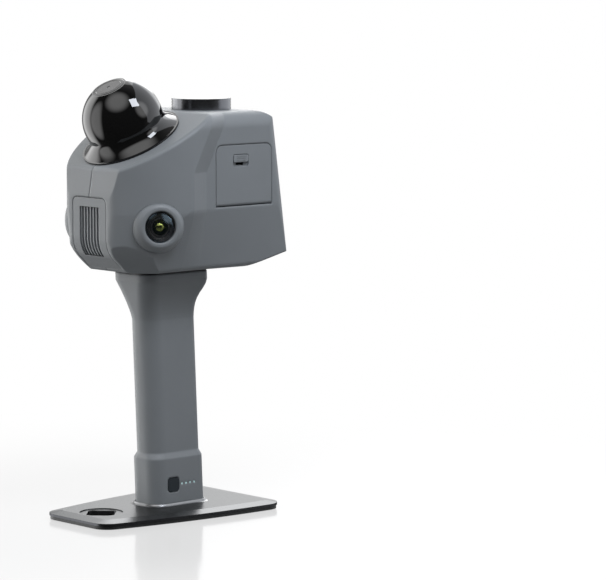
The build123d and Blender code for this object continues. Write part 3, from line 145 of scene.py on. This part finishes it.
# Each glow has its heading, a squeeze under 1 that makes it tall, the cosines at its rim and its core,
# and the brightness outside the rim and inside the core.
for label, heading, squeeze, rim, core, outside, inside in (
    ("white sweep over a dim room", (-0.505, 0.863, 0), 1.0, -0.2, 0.7, 0.06, 0.34),
    ("round light over the camera", (0.29, -0.54, 0.80), 1.0, 0.80, 0.98, 0.0, 2.0),
    ("foot of the sweep, in the floor", (-0.736, 0.677, 0.09), 1.0, 0.93, 0.985, 0.0, 1.5),
    ("lit sweep, in the plate's bevel", (-0.60, 0.70, 0.42), 1.0, 0.945, 0.985, 0.0, 4.4),
    ("right end of the lit sweep", (-0.42, 0.84, 0.34), 1.0, 0.90, 0.975, 0.0, 1.5),
    ("tall light on the left, in the dome", (-0.968, -0.242, 0.0), 0.45, 0.87, 0.97, 0.0, 2.7),
    ("tall light on the nose's side", (-0.52, -0.81, -0.10), 0.45, 0.90, 0.985, 0.0, 1.9),
    ("soft light on the right, in the lens", (0.83, 0.36, 0.42), 1.0, 0.91, 0.985, 0.0, 1.7),
):
    shrink = Vector((1, 1, squeeze))
    squeezed = node(
        tree,
        "ShaderNodeVectorMath",
        {"operation": "MULTIPLY", 1: shrink},
        [(0, coords.outputs["Generated"])],
    )
    looking = node(
        tree,
        "ShaderNodeVectorMath",
        {"operation": "NORMALIZE"},
        [(0, squeezed.outputs["Vector"])],
    )
    facing = node(
        tree,
        "ShaderNodeVectorMath",
        {"operation": "DOT_PRODUCT", 1: (Vector(heading) * shrink).normalized()},
        [(0, looking.outputs["Vector"])],
    )
    patch = node(
        tree,
        "ShaderNodeMapRange",
        {
            "label": label,
            "interpolation_type": "SMOOTHSTEP",
            "From Min": rim,
            "From Max": core,
            "To Min": outside,
            "To Max": inside,
        },
        [("Value", facing.outputs["Value"])],
    )
    brighter = node(
        tree,
        "ShaderNodeMath",
        {"operation": "MAXIMUM"},
        [(0, patch.outputs["Result"]), (1, level)],
    )
    level = brighter.outputs["Value"]
tree.links.new(level, surround.inputs["Strength"])
# Each panel has its place, its width and height, its watts and its colour, whether it lights
# surfaces, and whether glossy pieces mirror it. All of them point at the lower part of the head.
panel_aim = Vector((0, 0, 0.18))
for name, stand, size, power, color, lit, mirrored in (
    ("left_panel", (-1.84, -0.46, 0.05), (1.5, 2.2), 24, "#fffaf6", True, False),
    ("nose_panel", (-1.45, -1.25, -0.35), (1.2, 2.2), 66, "#fffaf6", True, False),
    ("flank_panel", (0.64, 1.89, 1.30), (4.1, 3.4), 50, "#f4f8ff", False, True),
    ("right_key", (0.38, 0.0, 0.64), (0.19, 0.21), 2.0, "#f1f6ff", True, True),
    ("top_panel", (0.55, -0.25, 1.15), (0.5, 0.5), 2.4, "#f1f6ff", True, False),
    ("overhead_panel", (-0.85, 0.38, 1.25), (1.1, 0.9), 4, "#ffffff", True, True),
):
    bpy.ops.object.light_add(type="AREA", location=stand)
    lamp = bpy.context.object
    lamp.name = name
    lamp.visible_camera = False
    lamp.visible_diffuse = lit
    lamp.visible_glossy = mirrored
    lamp.data.shape = "RECTANGLE"
    lamp.data.size, lamp.data.size_y = size
    lamp.data.energy = power
    lamp.data.color = tint(color)[:3]
    lamp.rotation_mode = "QUATERNION"
    lamp.rotation_quaternion = (panel_aim - Vector(stand)).to_track_quat("-Z", "Y")
bpy.context.scene.view_settings.view_transform = "Standard"

# Base plate. Thick aluminium sheet cut to a tapered outline, bevelled all round, bead-blasted and
# clear anodised. The handle's foot stands in its shallow recess; a strap passes the hole at its front.
noise_low, noise_high = 0.3, 0.7  # nearly all of a noise's values lie between these


def dress(made, *names):
    """Gives CAD nodes a material."""
    for name in names:
        for slot in frame["nodes"][name].material_slots:
            slot.material = made


def worked_metal(name, settings, rough, mark, packing, depth):
    """Metal with tool marks of a given length, which lie closer along X, Y and Z by the packing there.

    Its roughness follows the marks between two values, and their depth is a bump."""
    made, tree, shader = material(name, {"Metallic": 1.0, **settings})
    coords = node(tree, "ShaderNodeTexCoord", {})
    packed = node(tree, "ShaderNodeMapping", {"Scale": packing}, [("Vector", coords.outputs["Object"])])
    marks = node(
        tree,
        "ShaderNodeTexNoise",
        {"Scale": 1 / mark, "Detail": 3.0},
        [("Vector", packed.outputs["Vector"])],
    )
    node(
        tree,
        "ShaderNodeMapRange",
        {"From Min": noise_low, "From Max": noise_high, "To Min": rough[0], "To Max": rough[1]},
        [("Value", marks.outputs["Fac"])],
        ("Result", shader.inputs["Roughness"]),
    )
    node(
        tree,
        "ShaderNodeBump",
        {"Strength": 0.5, "Distance": depth},
        [("Height", marks.outputs["Fac"])],
        ("Normal", shader.inputs["Normal"]),
    )
    return made


plate_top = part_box("base_plate")[1][2]
bevel_fall = 0.0014  # from the top down to the upright edge
edge_top = plate_top - bevel_fall
edge_blur = 0.0001
# Blasted aluminium: a silky grey that blurs what it mirrors, darker round the upright edge, where shade
# is painted into its colour below the bevel and the top is left lighter.
# The 0.2 mm dimples are drawn 0.9 mm wide to show.
blasted = worked_metal(
    "bead_blasted_aluminium",
    {"Specular Tint": tint("#b4b4b4")},
    rough=(0.27, 0.31),
    mark=0.0009,
    packing=(1, 1, 1),
    depth=0.0000004,
)
tree = blasted.node_tree
coords = node(tree, "ShaderNodeTexCoord", {})
height = node(tree, "ShaderNodeSeparateXYZ", {}, [("Vector", coords.outputs["Object"])])
above_painted_shade = node(
    tree,
    "ShaderNodeMapRange",
    {"From Min": edge_top - edge_blur, "From Max": edge_top + edge_blur},
    [("Value", height.outputs["Z"])],
)
# Painted shade: the upright edge below the bevel takes the dark grey, the top the lighter one.
node(
    tree,
    "ShaderNodeMix",
    {"data_type": "RGBA", "A": tint("#56575a"), "B": tint("#838485")},
    [("Factor", above_painted_shade.outputs["Result"])],
    ("Result", tree.nodes["Principled BSDF"].inputs["Base Color"]),
)
dress(blasted, "base_plate")

# Foot seat. A thin aluminium socket is pressed into the recess round the handle's foot, with a hollow
# outer face that rises to a thin lip and gathers the light into bright rims.
foot_width, foot_length, foot_middle_y = 0.0265, 0.0418, 0.00325
foot_front_round, foot_rear_round = 0.0095, 0.0045
seat_margin = 0.0031  # from the foot's outline to the socket's outer edge
seat_size = (foot_width + 2 * seat_margin, foot_length + 2 * seat_margin)
round_segments = 14
corner_slack = 0.0001
# The width and the rise of each step: up the hollow face, then over the lip and down inside it.
cove_steps = [(0.0008, 0.0002), (0.0006, 0.0004), (0.0004, 0.0005), (0.0002, 0.0004), (0.0001, 0.0002)]
lip_steps = [(0.0004, 0.0001), (0.0001, -0.0004)]
seat_wall = 0.0003
seat_crease = math.radians(50)
# Satin aluminium: a little duller than the plate, with a haze that drifts over 2 mm.
satin = worked_metal(
    "satin_aluminium",
    {"Base Color": tint("#7e7f80")},
    rough=(0.3, 0.36),
    mark=0.002,
    packing=(1, 1, 1),
    depth=0.0000005,
)
bpy.ops.object.select_all(action="DESELECT")
bpy.ops.mesh.primitive_plane_add(size=1, location=(0, foot_middle_y, plate_top))
seat = bpy.context.object
seat.name = "foot_seat"
seat.scale = (*seat_size, 1)
bpy.ops.object.transform_apply(location=True, rotation=True, scale=True)
bpy.ops.object.mode_set(mode="EDIT")
for end, foot_round in ((-1, foot_front_round), (1, foot_rear_round)):
    bpy.ops.mesh.select_mode(type="VERT")
    shape = bmesh.from_edit_mesh(seat.data)
    for corner in shape.verts:
        corner.select = (corner.co.y - foot_middle_y) * end > seat_size[1] / 2 - corner_slack
    shape.select_flush_mode()
    bpy.ops.mesh.bevel(offset=foot_round + seat_margin, segments=round_segments, affect="VERTICES")
bpy.ops.mesh.select_mode(type="FACE")
bpy.ops.mesh.select_all(action="SELECT")
for width, rise in cove_steps + lip_steps:
    bpy.ops.mesh.inset(thickness=width, depth=rise)
bpy.ops.mesh.delete(type="FACE")
bpy.ops.object.mode_set(mode="OBJECT")
wall = seat.modifiers.new("wall", "SOLIDIFY")
wall.thickness = seat_wall
wall.offset = -1
bpy.ops.object.modifier_apply(modifier="wall")
bpy.ops.object.shade_smooth_by_angle(angle=seat_crease)
seat.data.materials.append(satin)
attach(seat, "handle")

# Under-tray and feet. A dark moulded tray is glued under the plate, and four soft pads stand in it,
# so the scanner neither scratches a table nor slides on it. The base screw comes up through both.
cloud_size = 0.0222  # the length over which a moulding's colour drifts


def moulded(name, deep, pale, rough, grain, depth, settings=None, soft_edge=None):
    """Moulded plastic or rubber: a tone that clouds between two near colours, and a pebbled tool grain.

    Its roughness follows the grain between two values, and the grain's depth is a bump.
    A soft edge is the radius to which its sharp edges look rounded."""
    made, tree, shader = material(name, settings or {})
    coords = node(tree, "ShaderNodeTexCoord", {})
    clouds = node(
        tree,
        "ShaderNodeTexNoise",
        {"Scale": 1 / cloud_size, "Detail": 4.0},
        [("Vector", coords.outputs["Object"])],
    )
    node(
        tree,
        "ShaderNodeMix",
        {"data_type": "RGBA", "A": tint(deep), "B": tint(pale)},
        [("Factor", clouds.outputs["Fac"])],
        ("Result", shader.inputs["Base Color"]),
    )
    pebbles = node(
        tree,
        "ShaderNodeTexNoise",
        {"Scale": 1 / grain, "Detail": 2.0},
        [("Vector", coords.outputs["Object"])],
    )
    node(
        tree,
        "ShaderNodeMapRange",
        {"From Min": noise_low, "From Max": noise_high, "To Min": rough[0], "To Max": rough[1]},
        [("Value", pebbles.outputs["Fac"])],
        ("Result", shader.inputs["Roughness"]),
    )
    dents = node(
        tree,
        "ShaderNodeBump",
        {"Strength": 0.6, "Distance": depth},
        [("Height", pebbles.outputs["Fac"])],
        ("Normal", shader.inputs["Normal"]),
    )
    if soft_edge:
        node(
            tree,
            "ShaderNodeBevel",
            {"samples": 8, "Radius": soft_edge},
            into=("Normal", dents.inputs["Normal"]),
        )
    return made


# Glass-filled nylon: a near-black, dull moulding with a dry 0.3 mm grain, drawn 0.7 mm wide to show.
dark_nylon = moulded(
    "moulded_dark_nylon",
    deep="#17191a",
    pale="#1e2021",
    rough=(0.42, 0.56),
    grain=0.0007,
    depth=0.00003,
)
# Silicone rubber: black, soft-looking, with almost no shine.
rubber = moulded(
    "moulded_silicone_rubber",
    deep="#121314",
    pale="#191a1b",
    rough=(0.7, 0.85),
    grain=0.0012,
    depth=0.00004,
)
# Turned steel: bright, with short lines left by the lathe, a tenth of a millimetre apart.
steel = worked_metal(
    "turned_steel",
    {"Base Color": tint("#a4a6a8")},
    rough=(0.2, 0.34),
    mark=0.0005,
    packing=(1, 1, 6),
    depth=0.000008,
)
dress(dark_nylon, "base_tray")
dress(rubber, "base_feet")
dress(steel, "base_screw")

# Battery handle. A moulded sleeve with a flared collar and a stepped foot, closed by a cap at each end,
# with a brass insert for the base screw. It holds four cells and, over them, a protection board.
casing_edge, trim_edge = 0.0018, 0.0005
# Casing plastic: grey polycarbonate-ABS with a fine spark-eroded grain that breaks up its shine. The
# grain is about 0.3 mm wide and drawn at 0.8 mm to show. Small mouldings have crisper edges.
casing, trim = [
    moulded(
        name,
        deep="#6b6f72",
        pale="#717578",
        rough=(0.4, 0.52),
        grain=0.0008,
        depth=0.000035,
        settings={"Specular IOR Level": 0.3},
        soft_edge=soft_edge,
    )
    for name, soft_edge in (("moulded_grey_casing", casing_edge), ("moulded_grey_trim", trim_edge))
]
# Brass: a warm yellow metal with the same fine turning lines as the steel.
brass = worked_metal(
    "turned_brass",
    {"Base Color": tint("#c9a250")},
    rough=(0.22, 0.36),
    mark=0.0005,
    packing=(1, 1, 6),
    depth=0.000008,
)
dress(casing, "handle_sleeve")
dress(dark_nylon, "handle_top_cap", "handle_foot_cap", "cell_holders")
dress(brass, "thread_insert")

# Cells. Four 18650 cells in shrink film stand two by two, one layer on the other,
# between the insulating plates in the handle.
# Shrink film: saturated and glossy, with faint puckers about 4 mm wide.
film = moulded(
    "shrink_film",
    deep="#1c4f86",
    pale="#235d9a",
    rough=(0.16, 0.26),
    grain=0.004,
    depth=0.00005,
)
dress(film, *[f"battery_cell_{number}" for number in (1, 2, 3, 4)])

# Circuit boards. Glass-epoxy boards with copper tracks under green solder mask,
# one for each camera, and others for the battery, the button, the ports and the processor.
track_spacing = 0.0032
track_relief = 0.00004
# Solder mask: a glossy dark green, lighter where the tracks run under it, about 3 mm apart.
mask, tree, shader = material("solder_mask_on_glass_epoxy", {"Roughness": 0.28, "Coat Weight": 0.3})
coords = node(tree, "ShaderNodeTexCoord", {})
fields = node(
    tree,
    "ShaderNodeTexVoronoi",
    {
        "distance": "CHEBYCHEV",
        "feature": "DISTANCE_TO_EDGE",
        "Scale": 1 / track_spacing,
        "Randomness": 0.6,
    },
    [("Vector", coords.outputs["Object"])],
)
tracks = node(
    tree,
    "ShaderNodeMapRange",
    {"From Min": 0.03, "From Max": 0.08, "To Min": 1.0, "To Max": 0.0},
    [("Value", fields.outputs["Distance"])],
)
node(
    tree,
    "ShaderNodeMix",
    {"data_type": "RGBA", "A": tint("#0d3b22"), "B": tint("#1f6a3c")},
    [("Factor", tracks.outputs["Result"])],
    ("Result", shader.inputs["Base Color"]),
)
node(
    tree,
    "ShaderNodeBump",
    {"Strength": 0.5, "Distance": track_relief},
    [("Height", tracks.outputs["Result"])],
    ("Normal", shader.inputs["Normal"]),
)
dress(mask, "battery_board", "button_switch", "main_board", "port_board")
dress(mask, "right_camera_board", "left_camera_board", "top_camera_board")

# Power button and charge lights. A moulded key with rounded corners stands just proud of the handle's
# foot, and four small light pipes beside it show the charge.
milk_grain = 0.0008
# Key cap: dark blue-grey plastic with a satin, lightly pebbled face.
key_cap = moulded(
    "moulded_key_cap",
    deep="#1d2327",
    pale="#262c30",
    rough=(0.42, 0.56),
    grain=0.001,
    depth=0.00002,
    settings={"Specular IOR Level": 0.2},
)
# Light pipe: milky teal acrylic, lit from behind.
light_pipe, tree, shader = material(
    "lit_acrylic",
    {"Roughness": 0.25, "Emission Color": tint("#b4d9d6"), "Emission Strength": 0.1},
)
coords = node(tree, "ShaderNodeTexCoord", {})
milk = node(
    tree,
    "ShaderNodeTexNoise",
    {"Scale": 1 / milk_grain},
    [("Vector", coords.outputs["Object"])],
)
node(
    tree,
    "ShaderNodeMix",
    {"data_type": "RGBA", "A": tint("#93b9b9"), "B": tint("#c3dad9")},
    [("Factor", milk.outputs["Fac"])],
    ("Result", shader.inputs["Base Color"]),
)
dress(key_cap, "power_button")
dress(light_pipe, "led_lenses")

# Dock. Steel prongs and sprung gold-plated pins on the handle's cap enter a dark plate under the head,
# so the head lifts straight off its battery.
# Gold plate: thin, smooth and warm over nickel.
gold = worked_metal(
    "gold_plated_contacts",
    {"Base Color": tint("#d9b25c")},
    rough=(0.14, 0.24),
    mark=0.0006,
    packing=(1, 1, 4),
    depth=0.000004,
)
dress(steel, "dock_prongs")
dress(gold, "contact_pins", "dock_contacts")
dress(dark_nylon, "dock_plate")

# Chassis. A flat aluminium plate on the casing's floor carries the main board on pressed-in posts,
# with a finned heat sink on its processor. A small fan draws air in through the nose.
# Milled aluminium: pale, with straight lines left by the cutter, a tenth of a millimetre apart.
milled = worked_metal(
    "milled_aluminium",
    {"Base Color": tint("#b9bbbd")},
    rough=(0.26, 0.42),
    mark=0.0008,
    packing=(1, 8, 8),
    depth=0.00001,
)
dress(milled, "chassis_plate", "heat_sink")
dress(dark_nylon, "fan_frame", "fan_rotor")

# Head shells. Two moulded halves meet at the middle of the nose and are drawn together by three screws.
# The nose carries a panel with upright slats.
dress(casing, "head_shell_right", "head_shell_left")
dress(trim, "vent_panel", "vent_grille")
dress(steel, "shell_screws")

# Side cameras. Each lens sits in a moulded mound of the casing: a thick domed front glass,
# and behind it a blackened cell with stepped rings round a small coated element.
side_toe_in = math.radians(24)  # how far each camera turns from the side towards the front
side_axis = Vector((math.cos(side_toe_in), -math.sin(side_toe_in), 0))
side_mouth = Vector((0.0430, -0.03775, 0.1877))  # the middle of the right mound's mouth
lens_radius, lens_edge, lens_dome = 0.0098, 0.0012, 0.0024
lens_back = -lens_edge - lens_dome / 2  # the back of the front glass, along the axis
cell_radius, cell_edge = 0.0094, 0.0005
cell_back = lens_back + 0.0001
# The width and the rise of each step of the cell, from its rim to its middle.
cell_steps = [(0.0016, 0), (0.0002, -0.00025), (0.0012, 0), (0.0002, -0.0002)]
cell_steps += [(0.0012, 0.0004), (0.0003, 0)]
element_radius, element_edge, element_dome = 0.0048, 0.0005, 0.0021
element_back = lens_back + 0.0004
lens_rings, element_rings = 20, 12
disc_sides = 72
disc_crease = math.radians(28)
bloom_size = 0.004
# Barrel: black-anodised aluminium, dull so that no stray light comes back.
anodised = worked_metal(
    "black_anodised_aluminium",
    {"Base Color": tint("#1b1b1c")},
    rough=(0.3, 0.45),
    mark=0.0006,
    packing=(1, 1, 6),
    depth=0.00001,
)
# Lens glass: clear, polished, with a blue-green bloom where it mirrors a lamp.
lens_glass = material(
    "coated_lens_glass",
    {
        "Base Color": (1, 1, 1, 1),
        "Roughness": 0.0,
        "IOR": 1.8,
        "Transmission Weight": 1.0,
        "Specular Tint": tint("#a9c6dc"),
    },
)[0]
# Lens cell: black paint with a soft shine along its turned steps.
black_paint = moulded(
    "baffle_black_paint",
    deep="#050506",
    pale="#0a0a0b",
    rough=(0.25, 0.4),
    grain=0.0006,
    depth=0.00001,
)
# Inner element: glass whose coating throws back yellow-green, in tones that drift over 4 mm.
inner_glass, tree, shader = material("green_coated_element", {"Roughness": 0.1, "Metallic": 1.0})
coords = node(tree, "ShaderNodeTexCoord", {})
bloom = node(
    tree,
    "ShaderNodeTexNoise",
    {"Scale": 1 / bloom_size, "Detail": 1.0},
    [("Vector", coords.outputs["Object"])],
)
node(
    tree,
    "ShaderNodeMix",
    {"data_type": "RGBA", "A": tint("#4a5426"), "B": tint("#7f8550")},
    [("Factor", bloom.outputs["Fac"])],
    ("Result", shader.inputs["Base Color"]),
)


def turned_disc(name, radius, thickness, steps):
    """A disc whose top face is set in again and again, each step with a width and a rise."""
    bpy.ops.object.select_all(action="DESELECT")
    bpy.ops.mesh.primitive_cylinder_add(
        vertices=disc_sides, radius=radius, depth=thickness, location=(0, 0, thickness / 2)
    )
    piece = bpy.context.object
    piece.name = name
    bpy.ops.object.mode_set(mode="EDIT")
    bpy.ops.mesh.select_mode(type="FACE")
    shape = bmesh.from_edit_mesh(piece.data)
    for face in shape.faces:
        face.select = face.normal.z > 0.5  # only the top
    shape.select_flush_mode()
    bmesh.update_edit_mesh(piece.data)
    for width, rise in steps:
        bpy.ops.mesh.inset(thickness=width, depth=rise)
    bpy.ops.object.mode_set(mode="OBJECT")
    bpy.ops.object.shade_smooth_by_angle(angle=disc_crease)
    return piece


def stand_on(piece, foot, axis):
    """Stands a piece made along Z on a point, along an axis, with its place in its mesh."""
    bpy.ops.object.select_all(action="DESELECT")
    piece.select_set(True)
    bpy.context.view_layer.objects.active = piece
    piece.rotation_mode = "QUATERNION"
    piece.rotation_quaternion = axis.to_track_quat("Z", "Y")
    piece.location = foot
    bpy.ops.object.transform_apply(location=True, rotation=True, scale=True)


def dome_steps(radius, height, count):
    """Steps that carry a face of a given radius up over a dome of a given height."""
    bulge = (radius**2 + height**2) / (2 * height)
    rim_slope = math.asin(radius / bulge)
    slopes = [rim_slope * (1 - ring / count) for ring in range(count)]
    rings = [(bulge * math.sin(slope), bulge * math.cos(slope)) for slope in slopes]
    return [(outer[0] - inner[0], inner[1] - outer[1]) for outer, inner in zip(rings, rings[1:])]


for word, side in (("right", 1), ("left", -1)):
    mirror = Vector((side, 1, 1))
    axis = side_axis * mirror
    mouth = side_mouth * mirror
    cell = turned_disc(f"{word}_lens_cell", cell_radius, cell_edge, cell_steps)
    cell.data.materials.append(black_paint)
    stand_on(cell, mouth + axis * cell_back, axis)
    element_steps = dome_steps(element_radius, element_dome, element_rings)
    element = turned_disc(f"{word}_lens_element", element_radius, element_edge, element_steps)
    element.data.materials.append(inner_glass)
    stand_on(element, mouth + axis * element_back, axis)
    lens_steps = dome_steps(lens_radius, lens_dome, lens_rings)
    glass = turned_disc(f"{word}_front_lens", lens_radius, lens_edge, lens_steps)
    glass.data.materials.append(lens_glass)
    stand_on(glass, mouth + axis * lens_back, axis)
    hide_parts(f"{word}_camera_lens")
    for piece in (cell, element, glass):
        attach(piece, "head")
dress(casing, "right_camera_ring", "left_camera_ring")
dress(anodised, "right_camera_barrel", "left_camera_barrel")

# Top camera. A turned bezel stands on the top of the head and holds a flat window
# over an upward-looking barrel.
bezel_low, bezel_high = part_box("top_camera_bezel")
bezel_middle_y = (bezel_low[1] + bezel_high[1]) / 2
lathe_spacing = 0.000785
unit_wave = math.tau / 20  # how far apart a Wave texture's rings lie at scale 1
lathe_depth = 0.00001
# Bezel: dark anodised metal with lathe lines round it, which pull its reflections into streaks.
# The lines are about 0.1 mm apart and drawn 0.8 mm apart to show.
bezel_metal, tree, shader = material(
    "turned_anodised_bezel", {"Base Color": tint("#6c6d70"), "Metallic": 1.0}
)
coords = node(tree, "ShaderNodeTexCoord", {})
centred = node(
    tree,
    "ShaderNodeMapping",
    {"Location": (0, -bezel_middle_y, 0)},
    [("Vector", coords.outputs["Object"])],
)
lines = node(
    tree,
    "ShaderNodeTexWave",
    {
        "wave_type": "RINGS",
        "rings_direction": "Z",
        "Scale": unit_wave / lathe_spacing,
        "Distortion": 0.6,
        "Detail": 2.0,
    },
    [("Vector", centred.outputs["Vector"])],
)
node(
    tree,
    "ShaderNodeMapRange",
    {"To Min": 0.18, "To Max": 0.28},
    [("Value", lines.outputs["Fac"])],
    ("Result", shader.inputs["Roughness"]),
)
node(
    tree,
    "ShaderNodeBump",
    {"Strength": 0.25, "Distance": lathe_depth},
    [("Height", lines.outputs["Fac"])],
    ("Normal", shader.inputs["Normal"]),
)
# Window: smoked glass, nearly black, polished.
smoked = moulded(
    "smoked_window_glass",
    deep="#060607",
    pale="#0a0a0c",
    rough=(0.02, 0.05),
    grain=0.003,
    depth=0.000001,
    settings={"IOR": 1.45, "Specular IOR Level": 0.3},
)
dress(bezel_metal, "top_camera_bezel")
dress(smoked, "top_camera_glass")
dress(anodised, "top_camera_barrel")

# Scanning dome. A dome of black infrared-passing polycarbonate on a polished trim ring covers the
# laser unit: a can with its stator, and a rotor with a tilted mirror that spins inside.
# Polycarbonate: black and mirror-smooth, with a faint haze that drifts over 6 mm.
dome_black = moulded(
    "polished_black_polycarbonate",
    deep="#040404",
    pale="#070707",
    rough=(0.015, 0.05),
    grain=0.006,
    depth=0.000001,
    settings={"IOR": 1.57},
)
# Mirror: silvered glass with a trace of dust.
silver = worked_metal(
    "silvered_mirror",
    {"Base Color": tint("#e6e8ea")},
    rough=(0.01, 0.05),
    mark=0.004,
    packing=(1, 1, 1),
    depth=0.000001,
)
dress(dome_black, "lidar_dome", "dome_trim_ring")
dress(milled, "lidar_base")
dress(anodised, "lidar_rotor")
dress(steel, "lidar_stator")
dress(silver, "scan_mirror")

# Dome cap. The flat top of the dome keeps the mark of its moulding gate, a satin disc
# with shallow rings. It stands on the axis that the laser rotor turns on.
laser_spin = next(joint for joint in frame["joints"] if joint["name"] == "laser_spin")
dome_foot, dome_axis = Vector(laser_spin["pos_m"]), Vector(laser_spin["axis"])
dome_height = 0.03726  # from the rotor's joint to the dome's flat top
cap_radius, cap_edge, cap_sink = 0.0104, 0.0003, 0.0001
# The width and the rise of each step: a sloping rim, a groove, and a flat with a dimple in its middle.
cap_steps = [(0.0005, 0.0002), (0.0013, 0)]
cap_steps += [(0.0002, -0.00012), (0.0004, 0), (0.0002, 0.00012)]
cap_steps += [(0.0064, 0), (0.0004, -0.0004)]
# Gate mark: the dome's black plastic, left satin by the tool.
cap_satin = moulded(
    "satin_gate_mark",
    deep="#101011",
    pale="#161617",
    rough=(0.22, 0.26),
    grain=0.005,
    depth=0.000001,
)
cap = turned_disc("dome_cap", cap_radius, cap_edge, cap_steps)
cap.data.materials.append(cap_satin)
stand_on(cap, dome_foot + dome_axis * (dome_height - cap_sink), dome_axis)
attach(cap, "head")

# Side door and ports. A moulded door swings down on a steel pin and is held by a sliding latch.
# Behind it a dark tray has windows for the USB socket and the card socket on the port board.
dress(trim, "side_door", "door_latch")
dress(steel, "door_hinge_pin", "usb_socket", "card_socket")
dress(dark_nylon, "port_tray", "memory_card")

# Latch ribs. Three low ribs are moulded on the latch's face for the thumb,
# in the same plastic as the latch.
latch_low, latch_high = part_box("door_latch")
rib_size = (0.0003, 0.0070, 0.00045)
rib_count = 3
rib_sink = 0.0001
rib_pitch = 0.0012
lowest_rib = 0.0017  # over the latch's lower edge
rib_x = latch_high[0] + rib_size[0] / 2 - rib_sink
rib_y = (latch_low[1] + latch_high[1]) / 2
rib_z = latch_low[2] + lowest_rib
rib_bevel = 0.0001
rib_crease = math.radians(40)
bpy.ops.object.select_all(action="DESELECT")
bpy.ops.mesh.primitive_cube_add(size=1, location=(rib_x, rib_y, rib_z), scale=rib_size)
ribs = [bpy.context.object]
bpy.ops.object.transform_apply(location=True, rotation=True, scale=True)
bpy.ops.object.mode_set(mode="EDIT")
bpy.ops.mesh.select_all(action="SELECT")
bpy.ops.mesh.bevel(offset=rib_bevel, segments=2, affect="EDGES")
bpy.ops.object.mode_set(mode="OBJECT")
bpy.ops.object.shade_smooth_by_angle(angle=rib_crease)
ribs[0].data.materials.append(trim)
while len(ribs) < rib_count:
    bpy.ops.object.duplicate()
    ribs.append(bpy.context.object)
    ribs[-1].location.z = rib_pitch
    bpy.ops.object.transform_apply(location=True, rotation=True, scale=True)
for number, rib in enumerate(ribs, start=1):
    rib.name = f"latch_rib_{number}"
    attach(rib, "latch")

# Rear display. A dark bezel is let into the leaning rear face and holds a bonded cover glass
# over a liquid-crystal panel.
pixel_size = 0.0006
# Panel: black when off, with a faint 0.2 mm pixel grid, drawn 0.6 mm wide to show.
panel_black, tree, shader = material("switched_off_panel", {"Roughness": 0.3})
coords = node(tree, "ShaderNodeTexCoord", {})
pixels = node(
    tree,
    "ShaderNodeTexChecker",
    {"Scale": 1 / pixel_size},
    [("Vector", coords.outputs["Object"])],
)
node(
    tree,
    "ShaderNodeMix",
    {"data_type": "RGBA", "A": tint("#0b0d10"), "B": tint("#101318")},
    [("Factor", pixels.outputs["Fac"])],
    ("Result", shader.inputs["Base Color"]),
)
dress(dark_nylon, "rear_bezel")
dress(panel_black, "display_panel")
dress(smoked, "display_glass")
